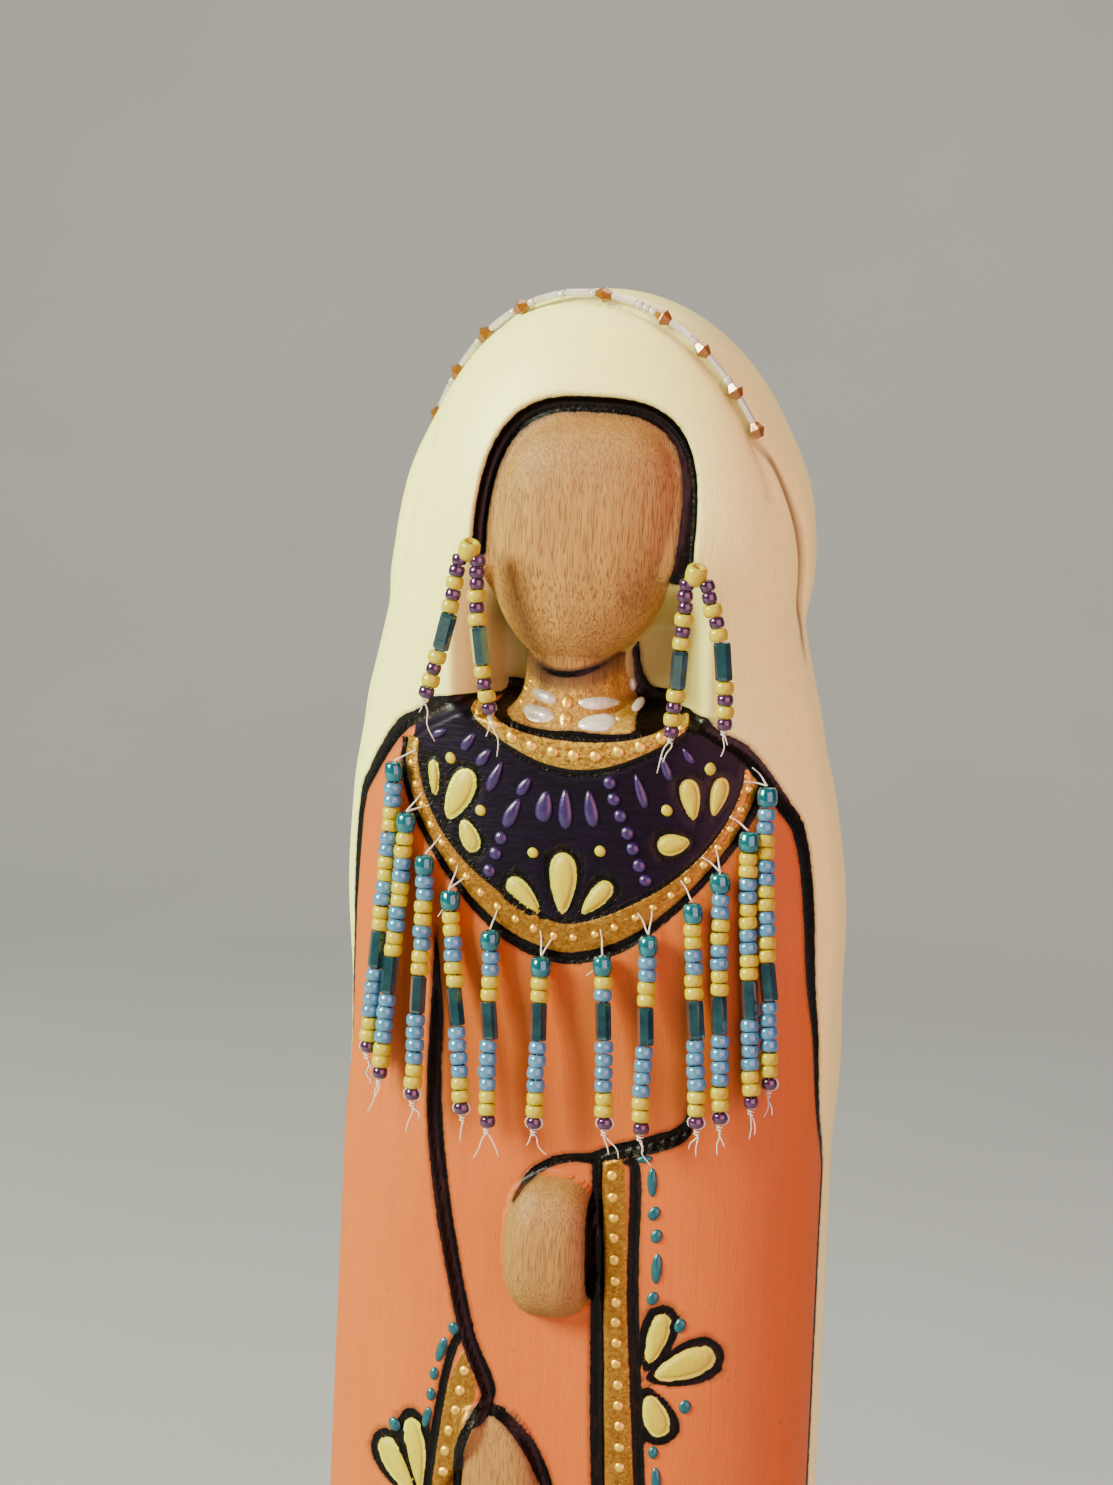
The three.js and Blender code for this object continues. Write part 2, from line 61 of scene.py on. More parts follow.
# Outline of the block: height share, then the share of the half width or half depth. "power" is how square
# the section is, "lean" its middle's place sideways, "leftSleeve" the inner edge of that sleeve.
outline = {
    "width": [(0, 1), (0.04, 0.985), (0.18, 0.965), (0.35, 0.977), (0.5, 0.991), (0.66, 0.982),
              (0.71, 0.987), (0.753, 1.008), (0.795, 0.976), (0.822, 0.927), (0.849, 0.895),
              (0.875, 0.89)],
    "front": [(0, 1.03), (0.04, 1), (0.18, 0.967), (0.35, 0.99), (0.5, 1.01), (0.66, 1.005),
              (0.743, 0.978), (0.795, 0.934), (0.829, 0.9)],
    "back": [(0, 1.03), (0.04, 0.99), (0.18, 0.945), (0.35, 0.967), (0.66, 1), (0.76, 1), (0.829, 0.945)],
    "lean": [(0, 0), (0.65, 0), (0.69, 0.017), (0.73, 0), (0.77, -0.019), (0.8, -0.037), (0.835, -0.054),
             (0.865, -0.057), (0.9, -0.032), (0.94, -0.024), (1, -0.044)],
    "power": [(0, 2.9), (0.49, 3), (0.675, 2.9), (0.767, 2.45), (0.897, 2.5), (1, 2.3)],
    "veilEdge": [(0.06, 1.2), (0.5, 1.06), (0.606, 1.0), (0.668, 0.98), (0.702, 0.963), (0.733, 0.93),
                 (0.76, 0.909), (0.779, 0.885), (0.795, 0.845), (0.803, 0.797), (0.815, 0.716),
                 (0.825, 0.628), (0.831, 0.527), (0.837, 0.42), (0.84, 0.3)],
    "leftSleeve": [(0.44, -0.56), (0.5, -0.46), (0.555, -0.235), (0.576, -0.31), (0.6, -0.378),
                   (0.632, -0.446), (0.677, -0.51), (0.72, -0.51), (0.75, -0.53)],
}

# Carving: face, neck, hands, sleeves, veil and the hood's side
carving = {
    "faceWidth": 22.8,
    "faceHeight": 30.3,
    "faceForward": 0.4,  # how far the face stands before the head's half depth
    "faceDepth": 7.9,
    "faceLean": 0.09,  # sideways for each millimetre up
    "facePowers": (1.92, 2.85),  # squareness of its outline below and above the middle
    "archLean": 0.047,
    "lineWidth": 1.6,
    "hoodRecess": 8.6,
    "hoodFloorRise": 1.4,
    "rimDrop": 1.9,  # how far the opening beside the face lies behind the plain block
    "neckDiameter": 11.2,
    "neckFlare": 2.4,
    "neckSink": 7.0,  # height over which the neck's foot sinks into the shoulders
    "sleeveRelief": 1.3,
    "sleeveHemDrop": 5.0,
    "veilRelief": 0.9,
    "handRelief": 4.2,
    "handWidth": 11.4,
    "handHeight": 17.1,
    "lowHandX": -4.6,
    "lowHandTilt": 0.18,
    "lowHandRelief": 2.6,
    "lowHandWidth": 10.5,
    "lowHandHeight": 24.0,
    "hoodGroove": 0.8,
    "hoodSwell": 0.7,
    "burnDepth": 0.32,
    "goldThickness": 0.12,
    "bandSeat": 0.9,
}

# Gold band round the hem: its middle, half width and how far off its burned outlines run; the line at the
# foot; and the height up to which all of this goes round the back too
hem = {"middle": 15.5, "half": 1.9, "outline": 2.3, "foot": 8.3, "top": 19.0}

random = np.random.default_rng(12)


# Height of a share of the figure, and the share of a height
def up(share):
    return block["baseHeight"] + share * block["figureHeight"]


def shareAt(z):
    return (z - block["baseHeight"]) / block["figureHeight"]


crown = up(1.0)
bodyHalf = block["bodyWidth"] / 2
faceX = carving["faceWidth"] * -0.042
faceMiddle = up(0.9048)
faceTop = carving["faceHeight"] * 0.492
faceBottom = carving["faceHeight"] * 0.508
archX = faceX + carving["faceWidth"] * 0.024
archFoot = faceMiddle - carving["faceHeight"] * 0.04
neckX = carving["faceWidth"] * -0.1
faceFront = block["headDepth"] / 2 + carving["faceForward"]
chinLevel = faceMiddle - 11  # below this height a point under the chin is on the neck
neckSetBack = block["headDepth"] * 0.24
shoulderTop = up(0.8375)
handMiddle = up(0.6218)
lowHandMiddle = up(0.512)
sleeveTop = up(0.661)
sleeveBottom = up(0.46)


# Ease from 0 at low to 1 at high: 3 t squared less 2 t cubed
def ease(low, high, value):
    t = np.clip((value - low) / (high - low), 0, 1)
    return t * t * (3 - 2 * t)


# Weighted mean: a at 0, b at 1
def blend(a, b, t):
    return a + (b - a) * t


# Each vector divided by its length
def unit(vectors):
    return vectors / np.maximum(np.linalg.norm(vectors, axis=-1, keepdims=True), 1e-9)


# Length run so far at each point of a path given by its axes
def runAlong(*axes):
    return np.concatenate([[0], np.cumsum(np.sqrt(sum(np.diff(axis) ** 2 for axis in axes)))])


# Smooth curve without overshoot through (place, value) pairs: cubic pieces whose slope at a pair is
# the harmonic mean of the slopes on its two sides, and flat where those differ in sign
def curve(profile, place):
    xs, ys = np.array(profile, float).T
    step = np.diff(xs)
    rise = np.diff(ys) / step
    slope = np.concatenate([rise[:1], np.zeros(len(rise) - 1), rise[-1:]])
    same = rise[:-1] * rise[1:] > 0
    total = np.where(same, rise[:-1] + rise[1:], 1)
    slope[1:-1] = np.where(same, 2 * rise[:-1] * rise[1:] / total, 0)
    at = np.clip(place, xs[0], xs[-1])
    i = np.clip(np.searchsorted(xs, at, side="right") - 1, 0, len(step) - 1)
    t = (at - xs[i]) / step[i]
    return (ys[i] * (1 + 2 * t) * (1 - t) ** 2 + slope[i] * step[i] * t * (1 - t) ** 2
            + ys[i + 1] * t * t * (3 - 2 * t) + slope[i + 1] * step[i] * t * t * (t - 1))


# Rounded oblong: share of the half depth at a share of the half width, as (1 - share to the power) to the
# power's inverse
def rounded(share, power):
    return (1 - np.abs(share) ** power) ** (1 / power)


# Half a size of the block at height z: the body's share turns into the hood's size, and a dome closes it
def blockHalf(z, body, shares, head, power):
    s = shareAt(z)
    dome = rounded(np.clip((s - block["domeStart"]) / (1 - block["domeStart"]), 0, 1), power)
    return blend(body * curve(outline[shares], s), head, ease(0.83, 0.885, s)) * dome


def halfWidthAt(z):
    return blockHalf(z, bodyHalf, "width", block["headWidth"] / 2, 2.1)


def frontDepthAt(z):
    return blockHalf(z, block["bodyDepth"] / 2, "front", block["headDepth"] / 2 * 1.01, 2.6)


def backDepthAt(z):
    return blockHalf(z, block["bodyDepth"] / 2, "back", block["headDepth"] / 2 * 0.98, 2.1)


def middleAt(z):
    return bodyHalf * curve(outline["lean"], shareAt(z))


# Front of the plain block: its depth times the rounded oblong of the height's power
def blockFront(x, z):
    u = np.clip(np.abs(x - middleAt(z)) / np.maximum(halfWidthAt(z), 1e-6), 0, 1)
    return -frontDepthAt(z) * rounded(u, curve(outline["power"], shareAt(z)))


# Distance of the veil's edge from the middle, at height z
def veilEdgeAt(z):
    return bodyHalf * curve(outline["veilEdge"], shareAt(z))


# Shape of the face's outline: below 1 inside it. An egg that leans a little, squarer above its middle: the
# shares of its half width and half height, each to a power, added up
def faceShape(x, z):
    across = np.abs(x - faceX - carving["faceLean"] * (z - faceMiddle)) / (carving["faceWidth"] / 2)
    along = np.abs(z - faceMiddle) / np.where(z > faceMiddle, faceTop, faceBottom)
    squaring = carving["faceHeight"] * 0.26
    power = blend(*carving["facePowers"], ease(faceMiddle - squaring, faceMiddle + squaring, z))
    return across ** power + along ** power


# Inset from the edge of the hood's opening, in mm, positive inside the arch
def archInset(x, z):
    halfWide = carving["faceWidth"] / 2 + carving["lineWidth"]
    dx = np.abs(x - archX - carving["archLean"] * np.maximum(z - faceMiddle, 0)) / halfWide
    dz = np.maximum(z - archFoot, 0) / (faceMiddle + faceTop + carving["lineWidth"] - archFoot)
    return (1 - (dx ** 3 + dz ** 3) ** (1 / 3)) * halfWide


# Rounded oblong of a hand: below 1 inside it
def handShape(x, z, middleX, middleZ, width, height):
    return np.abs((x - middleX) / (width / 2)) ** 2.7 + np.abs((z - middleZ) / (height / 2)) ** 2.7


def handAt(x, z):
    return handShape(x, z, 0.0, handMiddle, carving["handWidth"], carving["handHeight"])


def lowHandAt(x, z):
    tilted = x + (z - lowHandMiddle) * carving["lowHandTilt"]
    return handShape(tilted, z, carving["lowHandX"], lowHandMiddle,
                     carving["lowHandWidth"], carving["lowHandHeight"])


# The neck is a round stem that flares over the shoulders
def neckRadiusAt(z):
    wide = carving["neckDiameter"]
    flare = ease(shoulderTop + wide * 0.36, shoulderTop - wide * 0.27, z) ** 1.5
    return wide / 2 + carving["neckFlare"] * flare


# Right sleeve's inner edge: the cuff below the ledge, the upper arm above it
def rightSleeveAt(x, z):
    cuffEdge = carving["handWidth"] / 2 - 0.2 + (sleeveTop - z) * 0.05
    ledge = sleeveTop + (x - carving["handWidth"] / 2) * 0.29
    return blend(cuffEdge, bodyHalf * 0.52, ease(-0.5, 0.5, z - ledge))


# Depth taken off the belly, which lies behind the sleeves: eased steps at their edges, times each other
def sleeveCarving(x, z):
    left = ease(-0.5, 0.5, x - bodyHalf * curve(outline["leftSleeve"], shareAt(z)))
    right = ease(0.5, -0.5, x - rightSleeveAt(x, z))
    underSleeves = ease(0.8, -0.8, z - sleeveBottom - np.abs(x) * 0.45 + carving["sleeveHemDrop"])
    belowCollar = ease(up(0.745), up(0.7), z)
    openPart = np.maximum(left * right, underSleeves)
    side = ease(1, 0.93, np.abs(x) / np.maximum(halfWidthAt(z), 1e-6))
    return carving["sleeveRelief"] * openPart * belowCollar * blend(side, 1, ease(up(0.5), up(0.4), z))


# Depth by which the veil lies behind the dress at the shoulders: an eased step at its edge
def veilCarving(x, z):
    outside = np.abs(x) - veilEdgeAt(z)
    shoulders = ease(up(0.66), up(0.72), z) * ease(up(0.868), up(0.827), z)
    side = ease(1, 0.96, np.abs(x - middleAt(z)) / np.maximum(halfWidthAt(z), 1e-6))
    return carving["veilRelief"] * ease(-0.5, 0.8, outside) * shoulders * side


# Carved front: the block, less the hood's opening, sleeves and veil, with neck, face and hands.
# Face and hands stand out by their relief times (1 - shape) to a power; the neck is a half round.
def carvedFront(x, z):
    front = blockFront(x, z)
    soft = ease(faceMiddle - 1, faceMiddle - faceBottom * 0.5, z)
    opening = ease(-0.3 - 2.2 * soft, 1.0 + 2.0 * soft, archInset(x, z))
    opening = opening * ease(-1.9, 1.5, z - shoulderTop)
    deeper = ease(faceMiddle - faceBottom * 0.7, faceMiddle - faceBottom * 0.2, z)
    floor = blend(carving["hoodFloorRise"] - carving["hoodRecess"], front + carving["rimDrop"], deeper)
    y = blend(front, np.maximum(front, floor), opening)
    y = y + sleeveCarving(x, z) + veilCarving(x, z)
    radius = neckRadiusAt(z)
    across = np.clip(np.abs(x - neckX) / radius, 0, 1)
    sunk = carving["neckDiameter"] * 0.45 * ease(shoulderTop - 1, shoulderTop - carving["neckSink"], z)
    neck = -neckSetBack - radius * np.sqrt(1 - across ** 2) + sunk
    y = np.where((across < 1) & (z < faceMiddle - faceBottom * 0.3), np.minimum(y, neck), y)
    q = faceShape(x, z)
    face = carving["faceDepth"] - faceFront - carving["faceDepth"] * np.clip(1 - q, 0, 1) ** 0.38
    y = np.where(q < 1, np.minimum(y, face), y)
    hand = np.clip(1 - handAt(x, z), 0, 1) ** 0.45 * (carving["handRelief"] + carving["sleeveRelief"])
    lowHand = np.clip(1 - lowHandAt(x, z), 0, 1) ** 0.45 * carving["lowHandRelief"]
    return y - hand - lowHand


# Depth of the hood's side groove at height z: it turns back as it runs down
def grooveAt(z):
    return curve(headband["groove"], shareAt(z))


# Side of the hood: a groove below the headband, a bell round its middle, with the back of the head swelling
# behind it. It turns back on the +X side and runs straight down on the other.
def sideSwell(side, y, z):
    top = ease(up(0.955), up(0.92), z)
    bottom = ease(up(0.868), up(0.885), z)
    place = np.where(side > 0, grooveAt(z), -neckSetBack)
    groove = np.exp(-(y - place) ** 2)
    behind = ease(-1.5, 3.5, y - place)
    return (carving["hoodSwell"] * behind - carving["hoodGroove"] * groove) * top * bottom


# Figure's surface at a turn round the block and a height: x runs as the cosine of the turn (0 = +X side,
# a quarter turn = front), y is the carved front or the plain back
def figureSurface(turn, z):
    across = np.cos(turn)
    x = middleAt(z) + halfWidthAt(z) * across
    back = backDepthAt(z) * rounded(across, curve(outline["power"], shareAt(z)))
    y = np.where(np.sin(turn) > 1e-9, carvedFront(x, z), back)
    swell = sideSwell(across, y, z) * ease(0.55, 0.95, np.abs(across))
    return np.stack([x + np.sign(across) * swell, y, z + 0 * x], -1)


# Length along the body's section, for turns 0 to half a turn
sectionTurns = np.linspace(0, math.pi, 4001)
sectionX = np.cos(sectionTurns)
sectionRun = runAlong(bodyHalf * sectionX, block["bodyDepth"] / 2 * rounded(sectionX, 2.8))
sideLength = sectionRun[-1] / 2


# Signed length round the front from its middle, + towards +X; the back carries on past the sides
def lengthAt(turn):
    turn = np.mod(turn, 2 * math.pi)
    front = sideLength - np.interp(turn, sectionTurns, sectionRun)
    behind = np.interp(2 * math.pi - turn, sectionTurns, sectionRun)
    back = np.where(turn < 1.5 * math.pi, behind - 3 * sideLength, sideLength + behind)
    return np.where(turn <= math.pi, front, back)


# Width at height z as a share of the body's width
def spread(z):
    return np.maximum(halfWidthAt(z), 1e-3) / bodyHalf


# Turn for a length from the front's middle at height z
def turnAt(length, z):
    return np.interp(sideLength - length / spread(z), sectionRun, sectionTurns)


# Lengths for points given by x and z on the front
def toLengths(x, z):
    u = np.clip((x - middleAt(z)) / np.maximum(halfWidthAt(z), 1e-3), -1, 1)
    return lengthAt(np.arccos(u)) * spread(z)


# Curve through points: Catmull-Rom, each stretch cut in steps
def smoothPath(points, steps=8):
    p = np.array(points, float)
    p = np.vstack([2 * p[0] - p[1], p, 2 * p[-1] - p[-2]])
    t = np.linspace(0, 1, steps, endpoint=False)[None, :, None]
    a, b, c, d = (p[i:len(p) - 3 + i, None, :] for i in range(4))
    bend = (2 * a - 5 * b + 4 * c - d) * t ** 2
    path = 0.5 * (2 * b + (c - a) * t + bend + (3 * b - a - 3 * c + d) * t ** 3)
    return np.vstack([path.reshape(-1, p.shape[1]), p[-2]])


# Distance of grid points from a stroke whose points carry x, z and half width: the nearest spot on each of
# its stretches, less the half width there
def strokeDistance(length, height, stroke):
    path = smoothPath(stroke)
    run = toLengths(path[:, 0], path[:, 1])
    z, half = path[:, 1], path[:, 2]
    result = np.full(length.shape, farOff)
    near = (length > run.min() - farOff) & (length < run.max() + farOff)
    near &= (height > z.min() - farOff) & (height < z.max() + farOff)
    px, pz = length[near][:, None], height[near][:, None]
    dx, dz = np.diff(run)[None], np.diff(z)[None]
    t = ((px - run[None, :-1]) * dx + (pz - z[None, :-1]) * dz) / np.maximum(dx ** 2 + dz ** 2, 1e-9)
    t = np.clip(t, 0, 1)
    away = np.hypot(px - run[None, :-1] - t * dx, pz - z[None, :-1] - t * dz)
    away -= half[None, :-1] + t * np.diff(half)[None]
    result[near] = np.minimum(away.min(axis=1), farOff)
    return result


# Distance from a line that keeps to a middle and has a half width, negative inside it
def lineDistance(place, middle, half):
    return np.abs(place - middle) - half


# Collar: two gold bands, each a rounded V given by half width, drop, top and power. "band" is the gold's
# half width at its ends and in its middle, "reach" the stretch over which it changes.
collar = {
    "outer": {"wide": 20.0, "drop": 19.5, "top": up(0.815), "power": 1.62,
              "band": (0.8, 1.65), "reach": (5, 17)},
    "inner": {"wide": 12.4, "drop": 5.4, "top": up(0.839), "power": 1.65,
              "band": (1.15, 1.6), "reach": (3, 11)},
    "outline": 0.62,
}


# Place of a point across a collar band: 0 on its middle line, where the shares of its half width and drop,
# each to the power, add up to 1; in mm outward
def collarOffset(x, z, band):
    power = band["power"]
    fall = np.minimum(z - band["top"], 0)
    g = (np.abs(x / band["wide"]) ** power + np.abs(fall / band["drop"]) ** power) ** (1 / power)
    return (g - 1) * np.clip(np.hypot(x, fall) / np.maximum(g, 1e-6), band["drop"] * 0.6, 60)


def bandHalf(x, band):
    return blend(band["band"][1], band["band"][0], ease(*band["reach"], np.abs(x)))


# Spot on a rounded V at a turn from its -X end: half width and drop, out to where their powers add up to 1
def onCollar(wide, drop, top, power, turn):
    reach = (np.abs(np.cos(turn)) ** power + np.abs(np.sin(turn)) ** power) ** (-1 / power)
    return -wide * np.cos(turn) * reach, top - drop * np.sin(turn) * reach


# Points along a collar band, evenly spaced, as x and z
def collarPoints(band, count, inset):
    turn = np.linspace(0.0, math.pi, 2001)
    x, z = onCollar(band["wide"], band["drop"], band["top"], band["power"], turn)
    run = runAlong(x, z)
    at = np.linspace(inset, run[-1] - inset, count)
    return np.interp(at, run, x), np.interp(at, run, z)


# Cuffs: middle line of each gold band as x, z and half width
cuffs = {
    "right": [(6.9, 200.6, 1.5), (7.9, 186, 1.75), (9.2, 168, 1.8), (10.6, 152, 1.8), (12.2, 139.5, 1.8)],
    "left": [(-9.3, 175.2, 0.9), (-9.9, 171.5, 1.7), (-11.2, 166, 1.8), (-12, 159, 1.7),
             (-13.3, 149, 1.7), (-15.2, 139.5, 1.7)],
}

# Burned outlines: x, z and half width of each stroke
burned = {
    "leftSleeve": [(-15.6, 226, 0.15), (-15.2, 217, 0.65), (-15.1, 206, 0.8), (-13.9, 196, 0.85),
                   (-12, 186.6, 0.8), (-9.6, 177.4, 0.75), (-7.4, 172.6, 0.8), (-6.8, 170.6, 0.7),
                   (-7.5, 169, 0.6)],
    "leftCuffOut": [(-9.6, 178.6, 0.5), (-11.1, 176.6, 0.55), (-12.3, 171.5, 0.55), (-13.4, 163, 0.6),
                    (-14.6, 152, 0.6), (-17, 139.5, 0.6)],
    "leftCuffIn": [(-7.4, 169.8, 0.5), (-9.3, 165.2, 0.6), (-10.3, 159, 0.65), (-11.6, 149, 0.6),
                   (-13.4, 138.5, 0.6)],
    "lowHandTop": [(-7.6, 167.6, 0.5), (-6.2, 169, 0.6), (-3.4, 167.2, 0.6), (-0.7, 163.4, 0.65),
                   (1.2, 158, 0.6), (1.4, 152, 0.5), (-0.4, 146.6, 0.5), (-4, 144.6, 0.5),
                   (-8.4, 146.5, 0.5), (-11.3, 151, 0.5)],
    "rightArm": [(15.2, 222, 0.2), (15.6, 214, 0.45), (15.7, 207.2, 0.65), (14.6, 204.4, 0.9),
                 (11, 202.8, 0.95), (7.2, 201.7, 0.8), (4.2, 200.6, 0.55)],
    "hand": [(-4.4, 195.2, 0.25), (-2.9, 197.9, 0.5), (0.2, 199.9, 0.55), (3.8, 200.4, 0.55),
             (5.3, 199.6, 0.6)],
    "rightCuffIn": [(5, 200, 0.7), (5.6, 190, 0.9), (5.9, 180, 0.95), (6.6, 164, 0.95), (7.9, 150, 0.8),
                    (9.7, 138, 0.7)],
    "rightCuffOut": [(8.4, 200.9, 0.3), (9.7, 199.4, 0.65), (10, 186, 0.7), (11.2, 170, 0.7),
                     (12.8, 152, 0.7), (14.8, 138.6, 0.65)],
    "rightHem": [(9.7, 138, 0.6), (14.8, 136.6, 0.6), (21, 139.6, 0.6), (26, 145, 0.55),
                 (29.4, 151, 0.5)],
    "leftHem": [(-13.4, 138.5, 0.6), (-17, 136.8, 0.6), (-22, 139.6, 0.6), (-26, 144, 0.55),
                (-29.4, 151, 0.5)],
    "besideNeck": [(4.3, 263, 0.25), (4.6, 260, 0.4), (5.0, 257, 0.5), (5.9, 254.8, 0.75),
                   (8.0, 253.1, 0.9)],
}

# Flowers on the dress: foot of the petals, then each petal's angle from upright, length, width and start
flowers = {
    "right": {"foot": (11.7, 174.7),
              "petals": [(15, 8.7, 2.5, 2.0), (66, 9.2, 3.5, 1.2), (159, 7.3, 3.1, 1.7)]},
    "left": {"foot": (-14.4, 155.8),
             "petals": [(-10, 11.2, 2.8, 1.8), (-38, 9.6, 3.4, 1.8), (-112, 6.6, 3.2, 1.6)]},
}


# Petal marks: x and z of the middle, length, width, angle from upright, height, taper; the middle lies
# halfway between the petal's start and tip, seen from the flower's foot
def flowerMarks(grow=0.0):
    marks = []
    for flower in flowers.values():
        footX, footZ = flower["foot"]
        for angle, length, width, start in flower["petals"]:
            turn = math.radians(angle)
            reach = start + (length - start) / 2
            x = footX + reach * math.sin(turn)
            z = footZ + reach * math.cos(turn)
            marks.append((x, z, length - start + grow, width + grow, angle, 0.22, 0.35))
    return marks


# Petals of the collar in three groups, as the same kind of marks
collarPetals = [
    (-16.9, 243.4, 4.3, 1.4, -4, 0.3, 0.35), (-13.6, 241.9, 6.7, 3.2, 26, 0.3, 0.25),
    (-12.1, 237.2, 4.0, 2.4, 156, 0.3, 0.2), (-5.0, 230.9, 5.4, 2.4, -45, 0.3, 0.4),
    (-0.5, 232.8, 7.2, 3.1, 1, 0.3, 0.4), (3.5, 231.4, 5.2, 2.1, 41, 0.3, 0.4),
    (13.6, 243.4, 4.8, 2.2, -9, 0.3, 0.4), (16.6, 243.8, 4.6, 1.9, 15, 0.3, 0.4),
    (12.0, 238.2, 3.8, 2.4, -101, 0.3, 0.3),
]


# Distance of grid points from a petal's edge, negative inside: scaled radius of the tapered ellipse
def petalDistance(length, height, mark):
    x, z, long, wide, angle, _, taper = mark
    turn = math.radians(angle)
    dx = length - toLengths(np.array(x), np.array(z))
    dz = height - z
    along = (dx * math.sin(turn) + dz * math.cos(turn)) / (long / 2)
    across = (dx * math.cos(turn) - dz * math.sin(turn)) / (wide / 2)
    q = np.hypot(along, across / np.maximum(1 + taper * along, 0.3))
    return (q - 1) * np.where(np.abs(across) > np.abs(along), wide, (wide + long) / 2) / 2


# New object at the world's origin, in the scene
def addObject(name, data):
    piece = bpy.data.objects.new(name, data)
    bpy.context.collection.objects.link(piece)
    return piece


# One mesh from points, four-sided and three-sided faces
def buildMesh(name, points, quads, triangles=()):
    mesh = bpy.data.meshes.new(name)
    mesh.vertices.add(len(points))
    mesh.vertices.foreach_set("co", (np.asarray(points) * mm).astype(np.float32).ravel())
    corners = np.concatenate([np.ravel(quads), np.ravel(triangles)]).astype(np.int32)
    mesh.loops.add(len(corners))
    mesh.loops.foreach_set("vertex_index", corners)
    sizes = np.concatenate([np.full(len(quads), 4), np.full(len(triangles), 3)])
    mesh.polygons.add(len(sizes))
    starts = np.concatenate([[0], np.cumsum(sizes)[:-1]]).astype(np.int32)
    mesh.polygons.foreach_set("loop_start", starts)
    mesh.polygons.foreach_set("use_smooth", np.ones(len(sizes), bool))
    mesh.update(calc_edges=True)
    mesh.validate()
    return addObject(name, mesh)


# Faces of a grid of rings, closed round each ring
def ringQuads(rings, sides, first=0):
    r, c = np.meshgrid(np.arange(rings - 1), np.arange(sides), indexing="ij")
    a = first + r * sides + c
    b = first + r * sides + (c + 1) % sides
    return np.stack([a, b, b + sides, a + sides], -1).reshape(-1, 4)


# Rows of the fine figure, as stretches with a step: close where it is carved and painted, wide on the dress
fineRows = [(8.0, 11.0, 1.0), (11.0, 21.0, 0.7), (21.0, 132.0, 4.5), (132.0, 150.0, 0.7),
            (150.0, 246.0, 0.47), (246.0, 262.0, 0.42), (262.0, 291.0, 0.47), (291.0, 298.6, 0.55)]
fineColumns = {"front": 186, "back": 42}


def figureRows():
    rows = [np.arange(low, high - 0.01, step) for low, high, step in fineRows]
    closing = crown - 1.4 * np.array([0.999, 0.75, 0.5, 0.3, 0.14, 0.05, 0.012])
    return np.concatenate(rows + [closing])


# Turns round the block, evenly spaced along its outline
def figureTurns():
    halves = []
    for start, count in ((0, fineColumns["front"]), (math.pi, fineColumns["back"])):
        at = np.linspace(0, sectionRun[-1], count, endpoint=False)
        halves.append(start + np.interp(at, sectionRun, sectionTurns))
    return np.concatenate(halves)[::-1]


# Low base: the same rounded oblong at each height, drawn in by an inset
def baseRings(turns):
    inset, height = np.array(block["baseSteps"]).T[:, :, None]
    across = np.cos(turns)
    x = (block["baseWidth"] / 2 - inset) * across
    y = (inset - block["baseDepth"] / 2) * rounded(across, block["basePower"]) * np.sign(np.sin(turns))
    return np.stack([x, y, height + 0 * x], -1)


# Outward direction over a grid: across product of the steps up and round
def gridNormals(points):
    around = (np.roll(points, -1, axis=1) - np.roll(points, 1, axis=1)) / 2
    return unit(np.cross(around, np.gradient(points, axis=0)))


# Length round the front at which the veil's edge lies, at height z
def veilLengthAt(z):
    return toLengths(np.minimum(veilEdgeAt(z), halfWidthAt(z) * 0.999), z)


# Heights at which painted edges end, and how far out the inner collar band and its lines reach
ends = {"archRight": 267.8, "archLeft": 269.6, "veilEdge": 253.2, "outerBand": 247.5, "innerBandFoot": 244.0,
        "innerBandTop": 252.5, "innerBandReach": 13.0, "neckLine": 254.6, "neckTop": 262.0}


